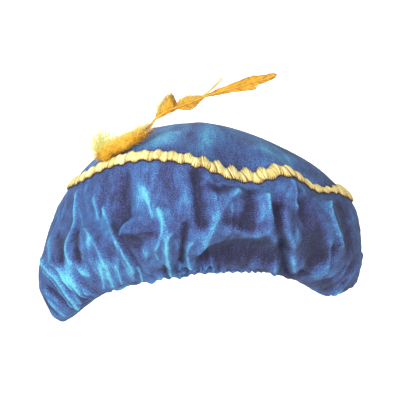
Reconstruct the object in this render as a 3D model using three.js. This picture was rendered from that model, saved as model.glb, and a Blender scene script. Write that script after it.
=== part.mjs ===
// A soft velvet beret in the shape it has on a head: a domed crown panel, a gathered side
// panel that puffs out over an elastic casing, a scalloped gold braid over the seam between
// them, and a dyed feather sewn on at the left. Millimetres, +Z up, the front faces -Y, and
// the origin is the centre of the head opening. Angles are in degrees round the head: 0 is
// the front and 90 is the +X side. A station runs up the cloth: 0 hem, 1 underside, 2 widest,
// 3 shoulder, 4 seam, 5 dome, 6 apex.
import * as THREE from "three";

// ---- driving dimensions ----
const cloth = 1.8; // velvet with its backing
const gap = 0.3; // clearance between pieces
const opening = { halfWidth: 81, halfDepth: 100 }; // inside the casing, on a 57 cm head
const apexHeight = 146;
const columns = 120; // facets round the head
const seamStation = 4;
const sideStations = [0, 0.3, 0.6, 0.9, 1.2, 1.5, 1.8, 2.1, 2.4, 2.7, 3, 3.35, 3.7];
const crownStations = [4.25, 4.7, 5.2, 5.65];
const casing = { height: 14, thickness: 2.6, drop: 3, gathers: 48, ruffle: 0.9 };
const braid = { halfWidth: 4.4, thickness: 1.8, pitch: 14.5, sway: 2, steps: 4, ease: 0.45 };
const gathers = { count: 30, rise: 1.5, wander: 1.3, fadeAt: 1.5 };
const drapes = { count: 15, rise: 2.4, wander: 1.7 }; // soft folds all the way round
const foldScale = { perDegree: 2.5, perStation: 46 }; // millimetres along the cloth
const quillSides = 6;
const webThickness = 1.4;

// The height of the hem round the opening, which arches up over the forehead.
const hem = [
  { at: 0, z: 14 },
  { at: 45, z: 9 },
  { at: 90, z: -3 },
  { at: 135, z: -9 },
  { at: 180, z: -12 },
  { at: 225, z: -14 },
  { at: 270, z: -11 },
  { at: 315, z: 4 },
];

// Cross-sections of the cloth, one row for each direction: radius and height of the
// underside's low point, the widest point, the shoulder and the dome's middle.
const sections = [
  { at: 0, lowR: 110, lowZ: 23, outR: 139, outZ: 50, highR: 141, highZ: 88, domeR: 76, domeZ: 146 },
  { at: 45, lowR: 117, lowZ: 7, outR: 153, outZ: 42, highR: 152, highZ: 74, domeR: 85, domeZ: 130 },
  { at: 90, lowR: 134, lowZ: -27, outR: 159, outZ: -8, highR: 162, highZ: 33, domeR: 87, domeZ: 119 },
  { at: 135, lowR: 132, lowZ: -9, outR: 164, outZ: 14, highR: 157, highZ: 50, domeR: 83, domeZ: 122 },
  { at: 180, lowR: 124, lowZ: -23, outR: 166, outZ: 14, highR: 159, highZ: 50, domeR: 82, domeZ: 120 },
  { at: 225, lowR: 137, lowZ: -36, outR: 166, outZ: 8, highR: 156, highZ: 48, domeR: 80, domeZ: 122 },
  { at: 270, lowR: 139, lowZ: -51, outR: 164, outZ: -8, highR: 148, highZ: 48, domeR: 83, domeZ: 123 },
  { at: 315, lowR: 118, lowZ: -6, outR: 148, outZ: 35, highR: 135, highZ: 61, domeR: 78, domeZ: 140 },
];

// The seam that the braid covers: it dips and swells with the folds across the front.
const seam = [
  { at: 0, r: 133, z: 115 },
  { at: 13, r: 129, z: 103 },
  { at: 22, r: 130, z: 100 },
  { at: 34, r: 136, z: 106 },
  { at: 50, r: 139, z: 88 },
  { at: 64, r: 143, z: 84 },
  { at: 90, r: 146, z: 73 },
  { at: 135, r: 146, z: 74 },
  { at: 180, r: 142, z: 72 },
  { at: 225, r: 138, z: 77 },
  { at: 270, r: 127, z: 84 },
  { at: 300, r: 129, z: 96 },
  { at: 320, r: 127, z: 113 },
  { at: 340, r: 131, z: 121 },
];

// Folds in the side panel: each runs from one place to another by way of a middle place,
// as an angle and a station. A positive rise is a ridge and a negative one a valley.
const folds = [
  { a: -61, t: 3.6, viaA: -59, viaT: 2.8, toA: -57, toT: 1.7, width: 9, rise: 4 },
  { a: -78, t: 2.8, viaA: -73, viaT: 2.5, toA: -69, toT: 2.1, width: 10, rise: 3 },
  { a: -58, t: 3.4, viaA: -44, viaT: 2.3, toA: -40, toT: 1.2, width: 11, rise: 3.5 },
  { a: -38, t: 3, viaA: -32, viaT: 1.9, toA: -31, toT: 0.7, width: 10, rise: 3 },
  { a: -21, t: 3.3, viaA: -19, viaT: 2.9, toA: -15, toT: 1.8, width: 9, rise: 2.5 },
  { a: -10, t: 1.9, viaA: -9, viaT: 1.5, toA: -9, toT: 0.9, width: 9, rise: 3 },
  { a: -72, t: 2, viaA: -67, viaT: 1.3, toA: -80, toT: 0.7, width: 11, rise: 3 },
  { a: -1, t: 1.7, viaA: 7, viaT: 2.5, toA: 15, toT: 3.4, width: 11, rise: 4.5 },
  { a: 24, t: 3.7, viaA: 26, viaT: 2.4, toA: 37, toT: 1, width: 10, rise: 5 },
  { a: 52, t: 3.4, viaA: 51, viaT: 2.6, toA: 56, toT: 1.5, width: 10, rise: 4.5 },
  { a: 70, t: 2, viaA: 73, viaT: 1.8, toA: 77, toT: 1.4, width: 10, rise: 3 },
  { a: -31, t: 3.6, viaA: -31, viaT: 3.1, toA: -30, toT: 2.6, width: 9, rise: -3.5 },
  { a: -68, t: 3, viaA: -64, viaT: 2.4, toA: -60, toT: 1.9, width: 10, rise: -2.5 },
  { a: -27, t: 2, viaA: -22, viaT: 2.05, toA: -17, toT: 2.1, width: 12, rise: -3.5 },
  { a: -2, t: 3.5, viaA: -1, viaT: 2.9, toA: 1, toT: 2.4, width: 10, rise: -3.5 },
  { a: 6, t: 1.4, viaA: 14, viaT: 1.7, toA: 21, toT: 1.6, width: 22, rise: -7 },
  { a: 16, t: 3.2, viaA: 18, viaT: 2.7, toA: 20, toT: 2.2, width: 10, rise: -3.5 },
  { a: 40, t: 3.2, viaA: 42, viaT: 2.3, toA: 48, toT: 1.5, width: 14, rise: -5.5 },
  { a: 60, t: 3.4, viaA: 64, viaT: 2.4, toA: 72, toT: 1.7, width: 13, rise: -4 },
];

// The downy tuft at the foot of the feather, lying on the crown: its middle line, how wide
// it is along the crown and how deep it is out from the crown, to each side of the middle.
const tuft = [
  { x: -95.1, y: -71.8, z: 116.2, across: 2, deep: 2 },
  { x: -90.5, y: -83.2, z: 120.2, across: 6, deep: 4.8 },
  { x: -82.3, y: -93.2, z: 125, across: 8, deep: 6.5 },
  { x: -72.6, y: -99.5, z: 130, across: 8, deep: 6.9 },
  { x: -63.2, y: -102.8, z: 134.8, across: 7.5, deep: 6.6 },
  { x: -54.9, y: -103.8, z: 139.4, across: 6.5, deep: 5.4 },
  { x: -47.7, y: -101.5, z: 143.9, across: 4, deep: 3 },
];
const offCrown = { outward: 0.57, upward: 0.82 }; // the way out of the crown under the tuft

// The quill from the tuft to its rounded tip.
const quill = [
  { x: -46.8, y: -101.1, z: 145, radius: 1.25 },
  { x: -44.1, y: -99.8, z: 149.3, radius: 1.2 },
  { x: -41.3, y: -98.5, z: 152.9, radius: 1.2 },
  { x: -36.8, y: -97, z: 156.5, radius: 1.15 },
  { x: -30.4, y: -95, z: 160.6, radius: 1.1 },
  { x: -21.2, y: -92.5, z: 164.2, radius: 1.05 },
  { x: -9.2, y: -89, z: 168.3, radius: 1 },
  { x: 3.7, y: -85.5, z: 173.3, radius: 0.95 },
  { x: 17.7, y: -81.5, z: 177.9, radius: 0.9 },
  { x: 32.6, y: -77.5, z: 181.5, radius: 0.8 },
  { x: 46.8, y: -73.5, z: 186.1, radius: 0.7 },
  { x: 60, y: -70, z: 189.4, radius: 0.7 },
  { x: 68.6, y: -67.8, z: 192.6, radius: 0.9 },
  { x: 70.9, y: -67.2, z: 193.8, radius: 1.3 },
];

// The webs left on the quill, each lying behind it: how far along the quill, from 0 to 1,
// and how far the web reaches above and below it.
const webs = {
  feather_clump_low: [
    { along: 0.19, above: 1.2, below: 1.6 },
    { along: 0.23, above: 7.5, below: 2.6 },
    { along: 0.3, above: 14, below: 3.4 },
    { along: 0.345, above: 5, below: 3.4 },
    { along: 0.385, above: 1.2, below: 2.6 },
  ],
  feather_clump_mid: [
    { along: 0.4, above: 1.4, below: 2 },
    { along: 0.425, above: 4.5, below: 4.5 },
    { along: 0.46, above: 6.5, below: 6.2 },
    { along: 0.5, above: 3.6, below: 5 },
    { along: 0.54, above: 1.4, below: 1.6 },
  ],
  feather_blade: [
    { along: 0.575, above: 1.4, below: 1.6 },
    { along: 0.62, above: 2.6, below: 3.2 },
    { along: 0.68, above: 4.2, below: 3 },
    { along: 0.76, above: 5.2, below: 7 },
    { along: 0.8, above: 5, below: 4 },
    { along: 0.86, above: 2.4, below: 2.8 },
    { along: 0.94, above: 2.4, below: 2 },
  ],
};
const strayBarb = { along: 0.55, x: 22.2, y: -84, z: 190.8, baseRadius: 0.7, tipRadius: 0.4 };

const colours = {
  crown_tip: 0x3e6db0,
  side_panel: 0x3a66a8,
  hem_casing: 0x34599a,
  gold_braid: 0xe2c987,
  feather_down: 0xf2bd45,
  feather_quill: 0xe0b24e,
  feather_clump_low: 0xe8b54a,
  feather_clump_mid: 0xdfa63e,
  feather_blade: 0xdca643,
  feather_barb: 0xe2b95c,
};

// ---- curves ----
// A smooth value all the way round: cubic between the rows, with slopes from the neighbours.
function around(rows, key, angle) {
  const count = rows.length;
  const turn = (k) => Math.floor(k / count);
  const at = (k) => rows[((k % count) + count) % count].at + 360 * turn(k);
  const value = (k) => rows[((k % count) + count) % count][key];
  const slope = (k) => {
    const before = at(k) - at(k - 1);
    const after = at(k + 1) - at(k);
    const rate = (value(k) - value(k - 1)) / before;
    const nextRate = (value(k + 1) - value(k)) / after;
    return (rate * after + nextRate * before) / (before + after);
  };
  const wrapped = ((angle % 360) + 360) % 360;
  let k = 0;
  while (k < count - 1 && at(k + 1) <= wrapped) k += 1;
  const span = at(k + 1) - at(k);
  const u = (wrapped - at(k)) / span;
  const rise = u * u * (3 - 2 * u);
  const leave = u * (1 - u) * (1 - u);
  const arrive = u * u * (u - 1);
  return value(k) + (value(k + 1) - value(k)) * rise + span * (slope(k) * leave + slope(k + 1) * arrive);
}

function openingRadius(angle, margin) {
  const turn = THREE.MathUtils.degToRad(angle);
  const width = opening.halfWidth + margin;
  const depth = opening.halfDepth + margin;
  return (width * depth) / Math.hypot(depth * Math.sin(turn), width * Math.cos(turn));
}

// The profile's radius and height at each station, with a row beyond each end for the slopes.
function profile(angle) {
  const section = (key) => around(sections, key, angle);
  const edge = casing.thickness + gap + 0.2;
  const lowR = section("lowR");
  const lowZ = section("lowZ");
  const hemZ = around(hem, "z", angle);
  const clear = openingRadius(angle, edge);
  const steep = Math.max(0, lowZ - hemZ) / Math.hypot(lowR - clear, lowZ - hemZ);
  const hemR = clear + cloth * steep;
  const domeR = section("domeR");
  const domeZ = section("domeZ");
  const radii = [hemR - 0.6 * (lowR - hemR), hemR, lowR, section("outR"), section("highR")];
  radii.push(around(seam, "r", angle), domeR, 0, -domeR);
  const heights = [hemZ + 6 - 0.1 * (lowZ - hemZ), hemZ, lowZ, section("outZ"), section("highZ")];
  heights.push(around(seam, "z", angle), domeZ, apexHeight, domeZ);
  return { radii, heights };
}

// One step of a Catmull-Rom spline through evenly numbered values.
function spline(values, t) {
  const k = Math.min(Math.floor(t), values.length - 4);
  const u = t - k;
  const [before, from, to, after] = values.slice(k, k + 4);
  const bend = 2 * before - 5 * from + 4 * to - after;
  const twist = 3 * from - before - 3 * to + after;
  return from + 0.5 * u * (to - before + u * (bend + u * twist));
}

function bareCloth(angle, t) {
  const { radii, heights } = profile(angle);
  const turn = THREE.MathUtils.degToRad(angle);
  const radius = spline(radii, t);
  return new THREE.Vector3(radius * Math.sin(turn), -radius * Math.cos(turn), spline(heights, t));
}

// How far a place on the cloth is from a fold's line, measured along the cloth.
function foldDistance(fold, angle, t) {
  let nearest = Infinity;
  const spots = [];
  const pieces = 6;
  for (let i = 0; i <= pieces; i += 1) {
    const u = i / pieces;
    const first = (1 - u) * (1 - 2 * u);
    const middle = 4 * u * (1 - u);
    const last = u * (2 * u - 1);
    const a = first * fold.a + middle * fold.viaA + last * fold.toA;
    const up = first * fold.t + middle * fold.viaT + last * fold.toT;
    const turn = THREE.MathUtils.euclideanModulo(a - angle + 180, 360) - 180;
    spots.push({ x: turn * foldScale.perDegree, y: (up - t) * foldScale.perStation });
  }
  for (let i = 0; i < pieces; i += 1) {
    const from = spots[i];
    const to = spots[i + 1];
    const dx = to.x - from.x;
    const dy = to.y - from.y;
    const along = THREE.MathUtils.clamp(-(from.x * dx + from.y * dy) / (dx * dx + dy * dy), 0, 1);
    nearest = Math.min(nearest, Math.hypot(from.x + along * dx, from.y + along * dy));
  }
  return nearest;
}

// The height of all the folds at one place. They die away at the seam and the hem.
function foldHeight(angle, t) {
  if (t >= seamStation) return 0;
  const fade = THREE.MathUtils.smoothstep(seamStation - t, 0.12, 0.75);
  let height = 0;
  for (const fold of folds) {
    const far = foldDistance(fold, angle, t) / fold.width;
    height += fold.rise * Math.exp(-far * far);
  }
  const turn = THREE.MathUtils.degToRad(angle);
  const body = THREE.MathUtils.smoothstep(t, 0.3, 1.6);
  const behind = 0.35 + 0.65 * THREE.MathUtils.smoothstep(Math.cos(turn), -0.2, -0.6);
  const bend = drapes.wander * Math.sin(2 * turn + 1.1 * t);
  height += drapes.rise * body * behind * Math.sin(drapes.count * turn + bend);
  const start = THREE.MathUtils.smoothstep(t, 0.1, 0.6);
  const pinch = start * (1 - THREE.MathUtils.smoothstep(t, 0.5, gathers.fadeAt));
  height += gathers.rise * pinch * Math.sin(gathers.count * turn + gathers.wander * Math.sin(3 * turn));
  return height * fade;
}

function bareNormal(angle, t) {
  const step = 0.01;
  const across = bareCloth(angle + 1, t).sub(bareCloth(angle - 1, t));
  const up = bareCloth(angle, Math.min(t + step, 5.99)).sub(bareCloth(angle, Math.max(t - step, 0)));
  return across.cross(up).normalize();
}

function clothPoint(angle, t) {
  return bareCloth(angle, t).addScaledVector(bareNormal(angle, t), foldHeight(angle, t));
}

function clothNormal(angle, t) {
  const across = clothPoint(angle + 1, t).sub(clothPoint(angle - 1, t));
  const up = clothPoint(angle, t + 0.02).sub(clothPoint(angle, Math.max(t - 0.02, 0)));
  return across.cross(up).normalize();
}

// How many stations one millimetre up the cloth takes at the seam.
function stationsPerMillimetre(angle) {
  const reach = bareCloth(angle, seamStation + 0.05).distanceTo(bareCloth(angle, seamStation - 0.05));
  return 0.1 / reach;
}

// ---- mesh building ----
// A closed skin through rings of points: every ring has the same number of points, and the
// rings join up in a loop round the body unless the two ends are capped.
function skin(rings, closedLoop) {
  const size = rings[0].length;
  const points = rings.flat();
  const faces = [];
  const rows = closedLoop ? rings.length : rings.length - 1;
  for (let i = 0; i < rows; i += 1) {
    const next = (i + 1) % rings.length;
    for (let j = 0; j < size; j += 1) {
      const side = (j + 1) % size;
      const a = i * size + j;
      const b = i * size + side;
      const c = next * size + side;
      const d = next * size + j;
      faces.push(a, b, c, a, c, d);
    }
  }
  return { points, faces, size };
}

function addCap(body, ring, centre, reversed) {
  const tip = body.points.length;
  body.points.push(centre);
  for (let j = 0; j < body.size; j += 1) {
    const a = ring * body.size + j;
    const b = ring * body.size + ((j + 1) % body.size);
    if (reversed) body.faces.push(tip, b, a);
    else body.faces.push(tip, a, b);
  }
}

function centreOf(ring) {
  return ring.reduce((sum, p) => sum.add(p), new THREE.Vector3()).divideScalar(ring.length);
}

// Turns the faces outward when the enclosed volume comes out negative.
function toMesh(name, body) {
  const { points, faces } = body;
  let volume = 0;
  for (let i = 0; i < faces.length; i += 3) {
    const [a, b, c] = [points[faces[i]], points[faces[i + 1]], points[faces[i + 2]]];
    volume += a.dot(b.clone().cross(c));
  }
  if (volume < 0) faces.reverse();
  const geometry = new THREE.BufferGeometry();
  const flat = points.flatMap((p) => [p.x, p.y, p.z]);
  geometry.setAttribute("position", new THREE.Float32BufferAttribute(flat, 3));
  geometry.setIndex(faces);
  geometry.computeVertexNormals();
  const material = new THREE.MeshStandardMaterial({ color: colours[name], roughness: 0.8, metalness: 0 });
  const mesh = new THREE.Mesh(geometry, material);
  mesh.name = name;
  return mesh;
}

// ---- pieces ----
function ringAt(t, depth) {
  const ring = [];
  for (let j = 0; j < columns; j += 1) {
    const angle = (360 * j) / columns;
    ring.push(clothPoint(angle, t).addScaledVector(bareNormal(angle, t), -depth));
  }
  return ring;
}

// The ring at the seam, half the gap to one side of it.
function seamRing(side, depth) {
  const ring = [];
  for (let j = 0; j < columns; j += 1) {
    const angle = (360 * j) / columns;
    const t = seamStation + side * 0.5 * (gap + 0.1) * stationsPerMillimetre(angle);
    ring.push(bareCloth(angle, t).addScaledVector(bareNormal(angle, seamStation), -depth));
  }
  return ring;
}

function buildSidePanel() {
  const outside = sideStations.map((t) => ringAt(t, 0));
  const inside = sideStations.map((t) => ringAt(t, cloth));
  const rings = [...outside, seamRing(-1, 0), seamRing(-1, cloth), ...inside.reverse()];
  return toMesh("side_panel", skin(rings, true));
}

function buildCrown() {
  const outside = crownStations.map((t) => ringAt(t, 0));
  const inside = crownStations.map((t) => ringAt(t, cloth));
  const rings = [...outside.reverse(), seamRing(1, 0), seamRing(1, cloth), ...inside];
  const body = skin(rings, false);
  addCap(body, 0, new THREE.Vector3(0, 0, apexHeight), true);
  addCap(body, rings.length - 1, new THREE.Vector3(0, 0, apexHeight - cloth), false);
  return toMesh("crown_tip", body);
}

// The casing is a gathered band: its lower edge is ruffled.
function buildCasing() {
  const perGather = 4;
  const count = casing.gathers * perGather;
  const rings = [[], [], [], [], []];
  for (let j = 0; j < count; j += 1) {
    const angle = (360 * j) / count;
    const turn = THREE.MathUtils.degToRad(angle);
    const wave = Math.cos((2 * Math.PI * j) / perGather);
    const hemZ = around(hem, "z", angle);
    const bottom = hemZ - casing.drop - casing.ruffle * wave;
    const top = bottom + casing.height;
    const inner = openingRadius(angle, 0);
    const outer = openingRadius(angle, casing.thickness);
    const spots = [
      { r: inner, z: top },
      { r: inner, z: bottom + 1.2 },
      { r: inner + casing.thickness / 2 + casing.ruffle * (1 + wave) * 0.5, z: bottom },
      { r: outer, z: bottom + 1.6 },
      { r: outer, z: top },
    ];
    spots.forEach((spot, k) => {
      rings[k].push(new THREE.Vector3(spot.r * Math.sin(turn), -spot.r * Math.cos(turn), spot.z));
    });
  }
  return toMesh("hem_casing", skin(rings, true));
}

// The braid follows the seam at a steady pace, swaying from side to side once a scallop.
function buildBraid() {
  const marks = [];
  let length = 0;
  let last = bareCloth(0, seamStation);
  for (let angle = 1; angle <= 360; angle += 1) {
    const here = bareCloth(angle, seamStation);
    length += here.distanceTo(last);
    marks.push({ angle, length });
    last = here;
  }
  const scallops = Math.round(length / braid.pitch);
  const count = scallops * braid.steps;
  const across = [
    { side: -1, lift: 0 },
    { side: 0, lift: 0 },
    { side: 1, lift: 0 },
    { side: 0.85, lift: braid.thickness * 0.7 },
    { side: 0, lift: braid.thickness },
    { side: -0.85, lift: braid.thickness * 0.7 },
  ];
  const rings = across.map(() => []);
  for (let j = 0; j < count; j += 1) {
    const goal = (length * j) / count;
    const k = marks.findIndex((mark) => mark.length > goal);
    const before = k === 0 ? { angle: 0, length: 0 } : marks[k - 1];
    const share = (goal - before.length) / (marks[k].length - before.length);
    const angle = before.angle + share;
    const scale = stationsPerMillimetre(angle);
    const sway = braid.sway * Math.sin((2 * Math.PI * (j + 0.5)) / braid.steps);
    across.forEach((spot, i) => {
      const t = seamStation + scale * (sway + spot.side * braid.halfWidth);
      const lift = gap + braid.ease + spot.lift;
      rings[i].push(clothPoint(angle, t).addScaledVector(clothNormal(angle, t), lift));
    });
  }
  return toMesh("gold_braid", skin(rings, true));
}

// The tuft lies on the crown: an oval section whose underside clears the cloth.
function buildTuft() {
  const sides = 10;
  const spine = tuft.map((row) => {
    const level = Math.hypot(row.x, row.y) / offCrown.outward;
    const out = new THREE.Vector3(row.x / level, row.y / level, offCrown.upward).normalize();
    return { out, at: new THREE.Vector3(row.x, row.y, row.z), row };
  });
  const rings = spine.map(({ at, out, row }, i) => {
    const ahead = spine[Math.min(i + 1, spine.length - 1)].at;
    const behind = spine[Math.max(i - 1, 0)].at;
    const along = ahead.clone().sub(behind).normalize();
    const over = out.clone().cross(along).normalize();
    return Array.from({ length: sides }, (_, j) => {
      const turn = (2 * Math.PI * j) / sides;
      const place = at.clone().addScaledVector(over, row.across * Math.cos(turn));
      return place.addScaledVector(out, row.deep * Math.sin(turn));
    });
  });
  const body = skin(rings, false);
  addCap(body, 0, centreOf(rings[0]), true);
  addCap(body, rings.length - 1, centreOf(rings[rings.length - 1]), false);
  return toMesh("feather_down", body);
}

const quillCurve = new THREE.CatmullRomCurve3(quill.map((row) => new THREE.Vector3(row.x, row.y, row.z)));

// Two directions across the quill: up over it, in the plane of the web, and out of that plane.
function quillFrame(along) {
  const at = quillCurve.getPoint(along);
  const forward = quillCurve.getTangent(along);
  const back = new THREE.Vector3(-0.15, 1, 0.1);
  const up = back.clone().cross(forward).normalize();
  if (up.z < 0) up.negate();
  const out = forward.clone().cross(up).normalize();
  if (out.y < 0) out.negate();
  return { at, up, out };
}

function buildQuill() {
  const rings = quill.map((row, i) => {
    const { at, up, out } = quillFrame(i / (quill.length - 1));
    return Array.from({ length: quillSides }, (_, j) => {
      const turn = (2 * Math.PI * j) / quillSides;
      const place = at.clone().addScaledVector(up, row.radius * Math.cos(turn));
      return place.addScaledVector(out, row.radius * Math.sin(turn));
    });
  });
  const body = skin(rings, false);
  addCap(body, 0, centreOf(rings[0]), true);
  addCap(body, rings.length - 1, centreOf(rings[rings.length - 1]), false);
  return toMesh("feather_quill", body);
}

// Reads one column of a table whose rows are placed by how far along they are.
function alongValue(rows, key, along) {
  const k = Math.max(1, rows.findIndex((row) => row.along >= along));
  const share = (along - rows[k - 1].along) / (rows[k].along - rows[k - 1].along);
  return THREE.MathUtils.lerp(rows[k - 1][key], rows[k][key], share);
}

// A web is a thin leaf behind the quill, thickest under it and thin at its two edges.
function buildWeb(name, rows) {
  const slices = 10;
  const first = rows[0].along;
  const last = rows[rows.length - 1].along;
  const rings = [];
  for (let i = 0; i <= slices; i += 1) {
    const along = Math.min(last, first + ((last - first) * i) / slices);
    const { at, up, out } = quillFrame(along);
    const above = alongValue(rows, "above", along);
    const below = alongValue(rows, "below", along);
    const shaft = 1.25 + gap;
    const spots = [
      { over: above, deep: shaft + 0.3 },
      { over: above, deep: shaft + 0.3 + webThickness * 0.4 },
      { over: 0, deep: shaft + webThickness },
      { over: -below, deep: shaft + 0.3 + webThickness * 0.4 },
      { over: -below, deep: shaft + 0.3 },
      { over: 0, deep: shaft - 0.2 * Math.min(1, along * 2) },
    ];
    const place = (spot) => at.clone().addScaledVector(up, spot.over);
    rings.push(spots.map((spot) => place(spot).addScaledVector(out, spot.deep)));
  }
  const body = skin(rings, false);
  addCap(body, 0, centreOf(rings[0]), true);
  addCap(body, rings.length - 1, centreOf(rings[rings.length - 1]), false);
  return toMesh(name, body);
}

function buildBarb() {
  const { at, up } = quillFrame(strayBarb.along);
  const end = new THREE.Vector3(strayBarb.x, strayBarb.y, strayBarb.z);
  const start = at.addScaledVector(up, 0.95 + gap + strayBarb.baseRadius);
  const along = end.clone().sub(start).normalize();
  const side = new THREE.Vector3(0, 1, 0).cross(along).normalize();
  const deep = along.clone().cross(side);
  const sides = 5;
  const rings = [
    { at: start, radius: strayBarb.baseRadius },
    { at: end, radius: strayBarb.tipRadius },
  ].map((spot) => {
    return Array.from({ length: sides }, (_, j) => {
      const turn = (2 * Math.PI * j) / sides;
      const place = spot.at.clone().addScaledVector(side, spot.radius * Math.cos(turn));
      return place.addScaledVector(deep, spot.radius * Math.sin(turn));
    });
  });
  const body = skin(rings, false);
  addCap(body, 0, centreOf(rings[0]), true);
  addCap(body, 1, centreOf(rings[1]), false);
  return toMesh("feather_barb", body);
}

// ---- assembly ----
const beret = new THREE.Group();
beret.name = "feathered_beret";
beret.add(buildSidePanel());
beret.add(buildCrown());
beret.add(buildCasing());
beret.add(buildBraid());
beret.add(buildTuft());
beret.add(buildQuill());
for (const [name, rows] of Object.entries(webs)) beret.add(buildWeb(name, rows));
beret.add(buildBarb());

export default beret;
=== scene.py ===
import math

import bpy
import numpy as np
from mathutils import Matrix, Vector


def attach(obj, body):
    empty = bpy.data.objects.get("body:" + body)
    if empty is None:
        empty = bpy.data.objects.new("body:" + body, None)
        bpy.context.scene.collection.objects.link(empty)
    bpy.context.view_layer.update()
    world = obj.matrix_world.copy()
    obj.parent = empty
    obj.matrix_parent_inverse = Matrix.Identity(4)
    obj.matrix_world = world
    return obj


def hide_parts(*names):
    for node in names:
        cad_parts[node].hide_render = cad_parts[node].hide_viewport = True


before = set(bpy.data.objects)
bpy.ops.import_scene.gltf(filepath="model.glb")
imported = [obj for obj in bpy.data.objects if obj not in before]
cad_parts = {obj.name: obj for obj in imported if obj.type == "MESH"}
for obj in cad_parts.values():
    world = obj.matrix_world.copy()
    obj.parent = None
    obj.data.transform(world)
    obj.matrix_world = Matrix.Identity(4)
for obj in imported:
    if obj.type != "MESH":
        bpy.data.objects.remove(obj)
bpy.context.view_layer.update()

rng = np.random.default_rng(41)
perMetre = 1000.0  # lengths in the tables are millimetres, and meshes are made in metres

# The front faces -Y. Angles are degrees round the head: 0 is the front and 90 is the +X side.
# A station runs up the cloth: 0 hem, 1 underside, 2 widest, 3 shoulder, 4 seam, 5 dome, 6 apex.

cameraLook = {
    "target": (0.0, 0.0, 69.1),
    "elevation": 5.5,
    "distance": 1300.0,
    "lens": 117.0,
    "sensor": 36.0,
    "clip": (0.05, 30.0),  # metres
}


# Puts a camera or a lamp at a place, looking in a direction.
def placeLooking(name, data, at, direction):
    thing = bpy.data.objects.new(name, data)
    bpy.context.scene.collection.objects.link(thing)
    thing.location = at / perMetre
    thing.rotation_mode = "QUATERNION"
    thing.rotation_quaternion = direction.to_track_quat("-Z", "Y")
    return thing


# A camera on a sloping line back from its target.
def makeCamera(look):
    data = bpy.data.cameras.new("camera")
    data.lens = look["lens"]
    data.sensor_width = look["sensor"]
    data.clip_start, data.clip_end = look["clip"]
    tilt = math.radians(look["elevation"])
    back = Vector((0.0, -math.cos(tilt), math.sin(tilt)))
    at = Vector(look["target"]) + back * look["distance"]
    bpy.context.scene.camera = placeLooking("camera", data, at, -back)


makeCamera(cameraLook)
print("camera placed")

# The shape of the cloth: rings round the head, each with a radius and a height.
clothShape = {
    "thickness": 1.8,
    "halfWidth": 83.9,  # of the hem, from the middle of the opening
    "halfDepth": 102.9,
    "tuck": (0.6, 6.0, 0.1),  # past the hem the cloth turns in: share of R, up, share of Z
    "apex": 146.0,
    "seam": 4.0,
    "perDegree": 2.5,  # millimetres along the cloth for a degree
    "perStation": 46.0,  # and for a station
}
hemLine = {
    "at": [0, 45, 90, 135, 180, 225, 270, 315],
    "z": [14, 9, -3, -9, -12, -14, -11, 4],
}
sections = {
    "at": [0, 45, 90, 135, 180, 225, 270, 315],
    "lowR": [110, 117, 134, 132, 124, 137, 139, 118],
    "lowZ": [23, 7, -27, -9, -23, -36, -51, -6],
    "outR": [139, 153, 159, 164, 166, 166, 164, 148],
    "outZ": [50, 42, -8, 14, 14, 8, -8, 35],
    "highR": [141, 152, 162, 157, 159, 156, 148, 135],
    "highZ": [88, 74, 33, 50, 50, 48, 48, 61],
    "domeR": [76, 85, 87, 83, 82, 80, 83, 78],
    "domeZ": [146, 130, 119, 122, 120, 122, 123, 140],
}
seamLine = {
    "at": [0, 13, 22, 34, 50, 64, 90, 135, 180, 225, 270, 300, 320, 340],
    "r": [133, 129, 130, 136, 139, 143, 146, 146, 142, 138, 127, 129, 127, 131],
    "z": [115, 103, 100, 106, 88, 84, 73, 74, 72, 77, 84, 96, 113, 121],
}


# A value all the way round: cubic between the table's angles, with each slope the mean of
# its two neighbours' slopes, weighted towards the nearer one.
def aroundValue(table, column, angle):
    at = np.array(table["at"], float)
    value = np.array(table[column], float)
    at = np.concatenate([at - 360.0, at, at + 360.0])
    value = np.tile(value, 3)
    span = np.diff(at)
    rate = np.diff(value) / span
    slope = np.zeros_like(value)
    slope[1:-1] = (rate[:-1] * span[1:] + rate[1:] * span[:-1]) / (span[:-1] + span[1:])
    wrapped = np.mod(angle, 360.0)
    k = np.searchsorted(at, wrapped, side="right") - 1
    u = (wrapped - at[k]) / span[k]
    mixed = value[k] + (value[k + 1] - value[k]) * u * u * (3.0 - 2.0 * u)
    leave = slope[k] * u * (1.0 - u) ** 2
    arrive = slope[k + 1] * u * u * (u - 1.0)
    return mixed + span[k] * (leave + arrive)


# The radius of an oval at an angle: wide * deep / hypot(deep * sin, wide * cos).
def ovalRadius(wide, deep, turn):
    return wide * deep / np.hypot(deep * np.sin(turn), wide * np.cos(turn))


# A Catmull-Rom spline from b to c, with a before and d after.
def splineThrough(a, b, c, d, u):
    bend, twist = 2 * a - 5 * b + 4 * c - d, 3 * b - a - 3 * c + d
    return b + 0.5 * u * (c - a + u * (bend + u * twist))


# Each vector over its length.
def unit(vectors, least=1e-12):
    return vectors / (np.linalg.norm(vectors, axis=-1, keepdims=True) + least)


# A radius and a height at each turn, as a point: the front is -Y.
def roundPoint(radius, turn, height):
    return np.stack([radius * np.sin(turn), -radius * np.cos(turn), height], -1)


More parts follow.
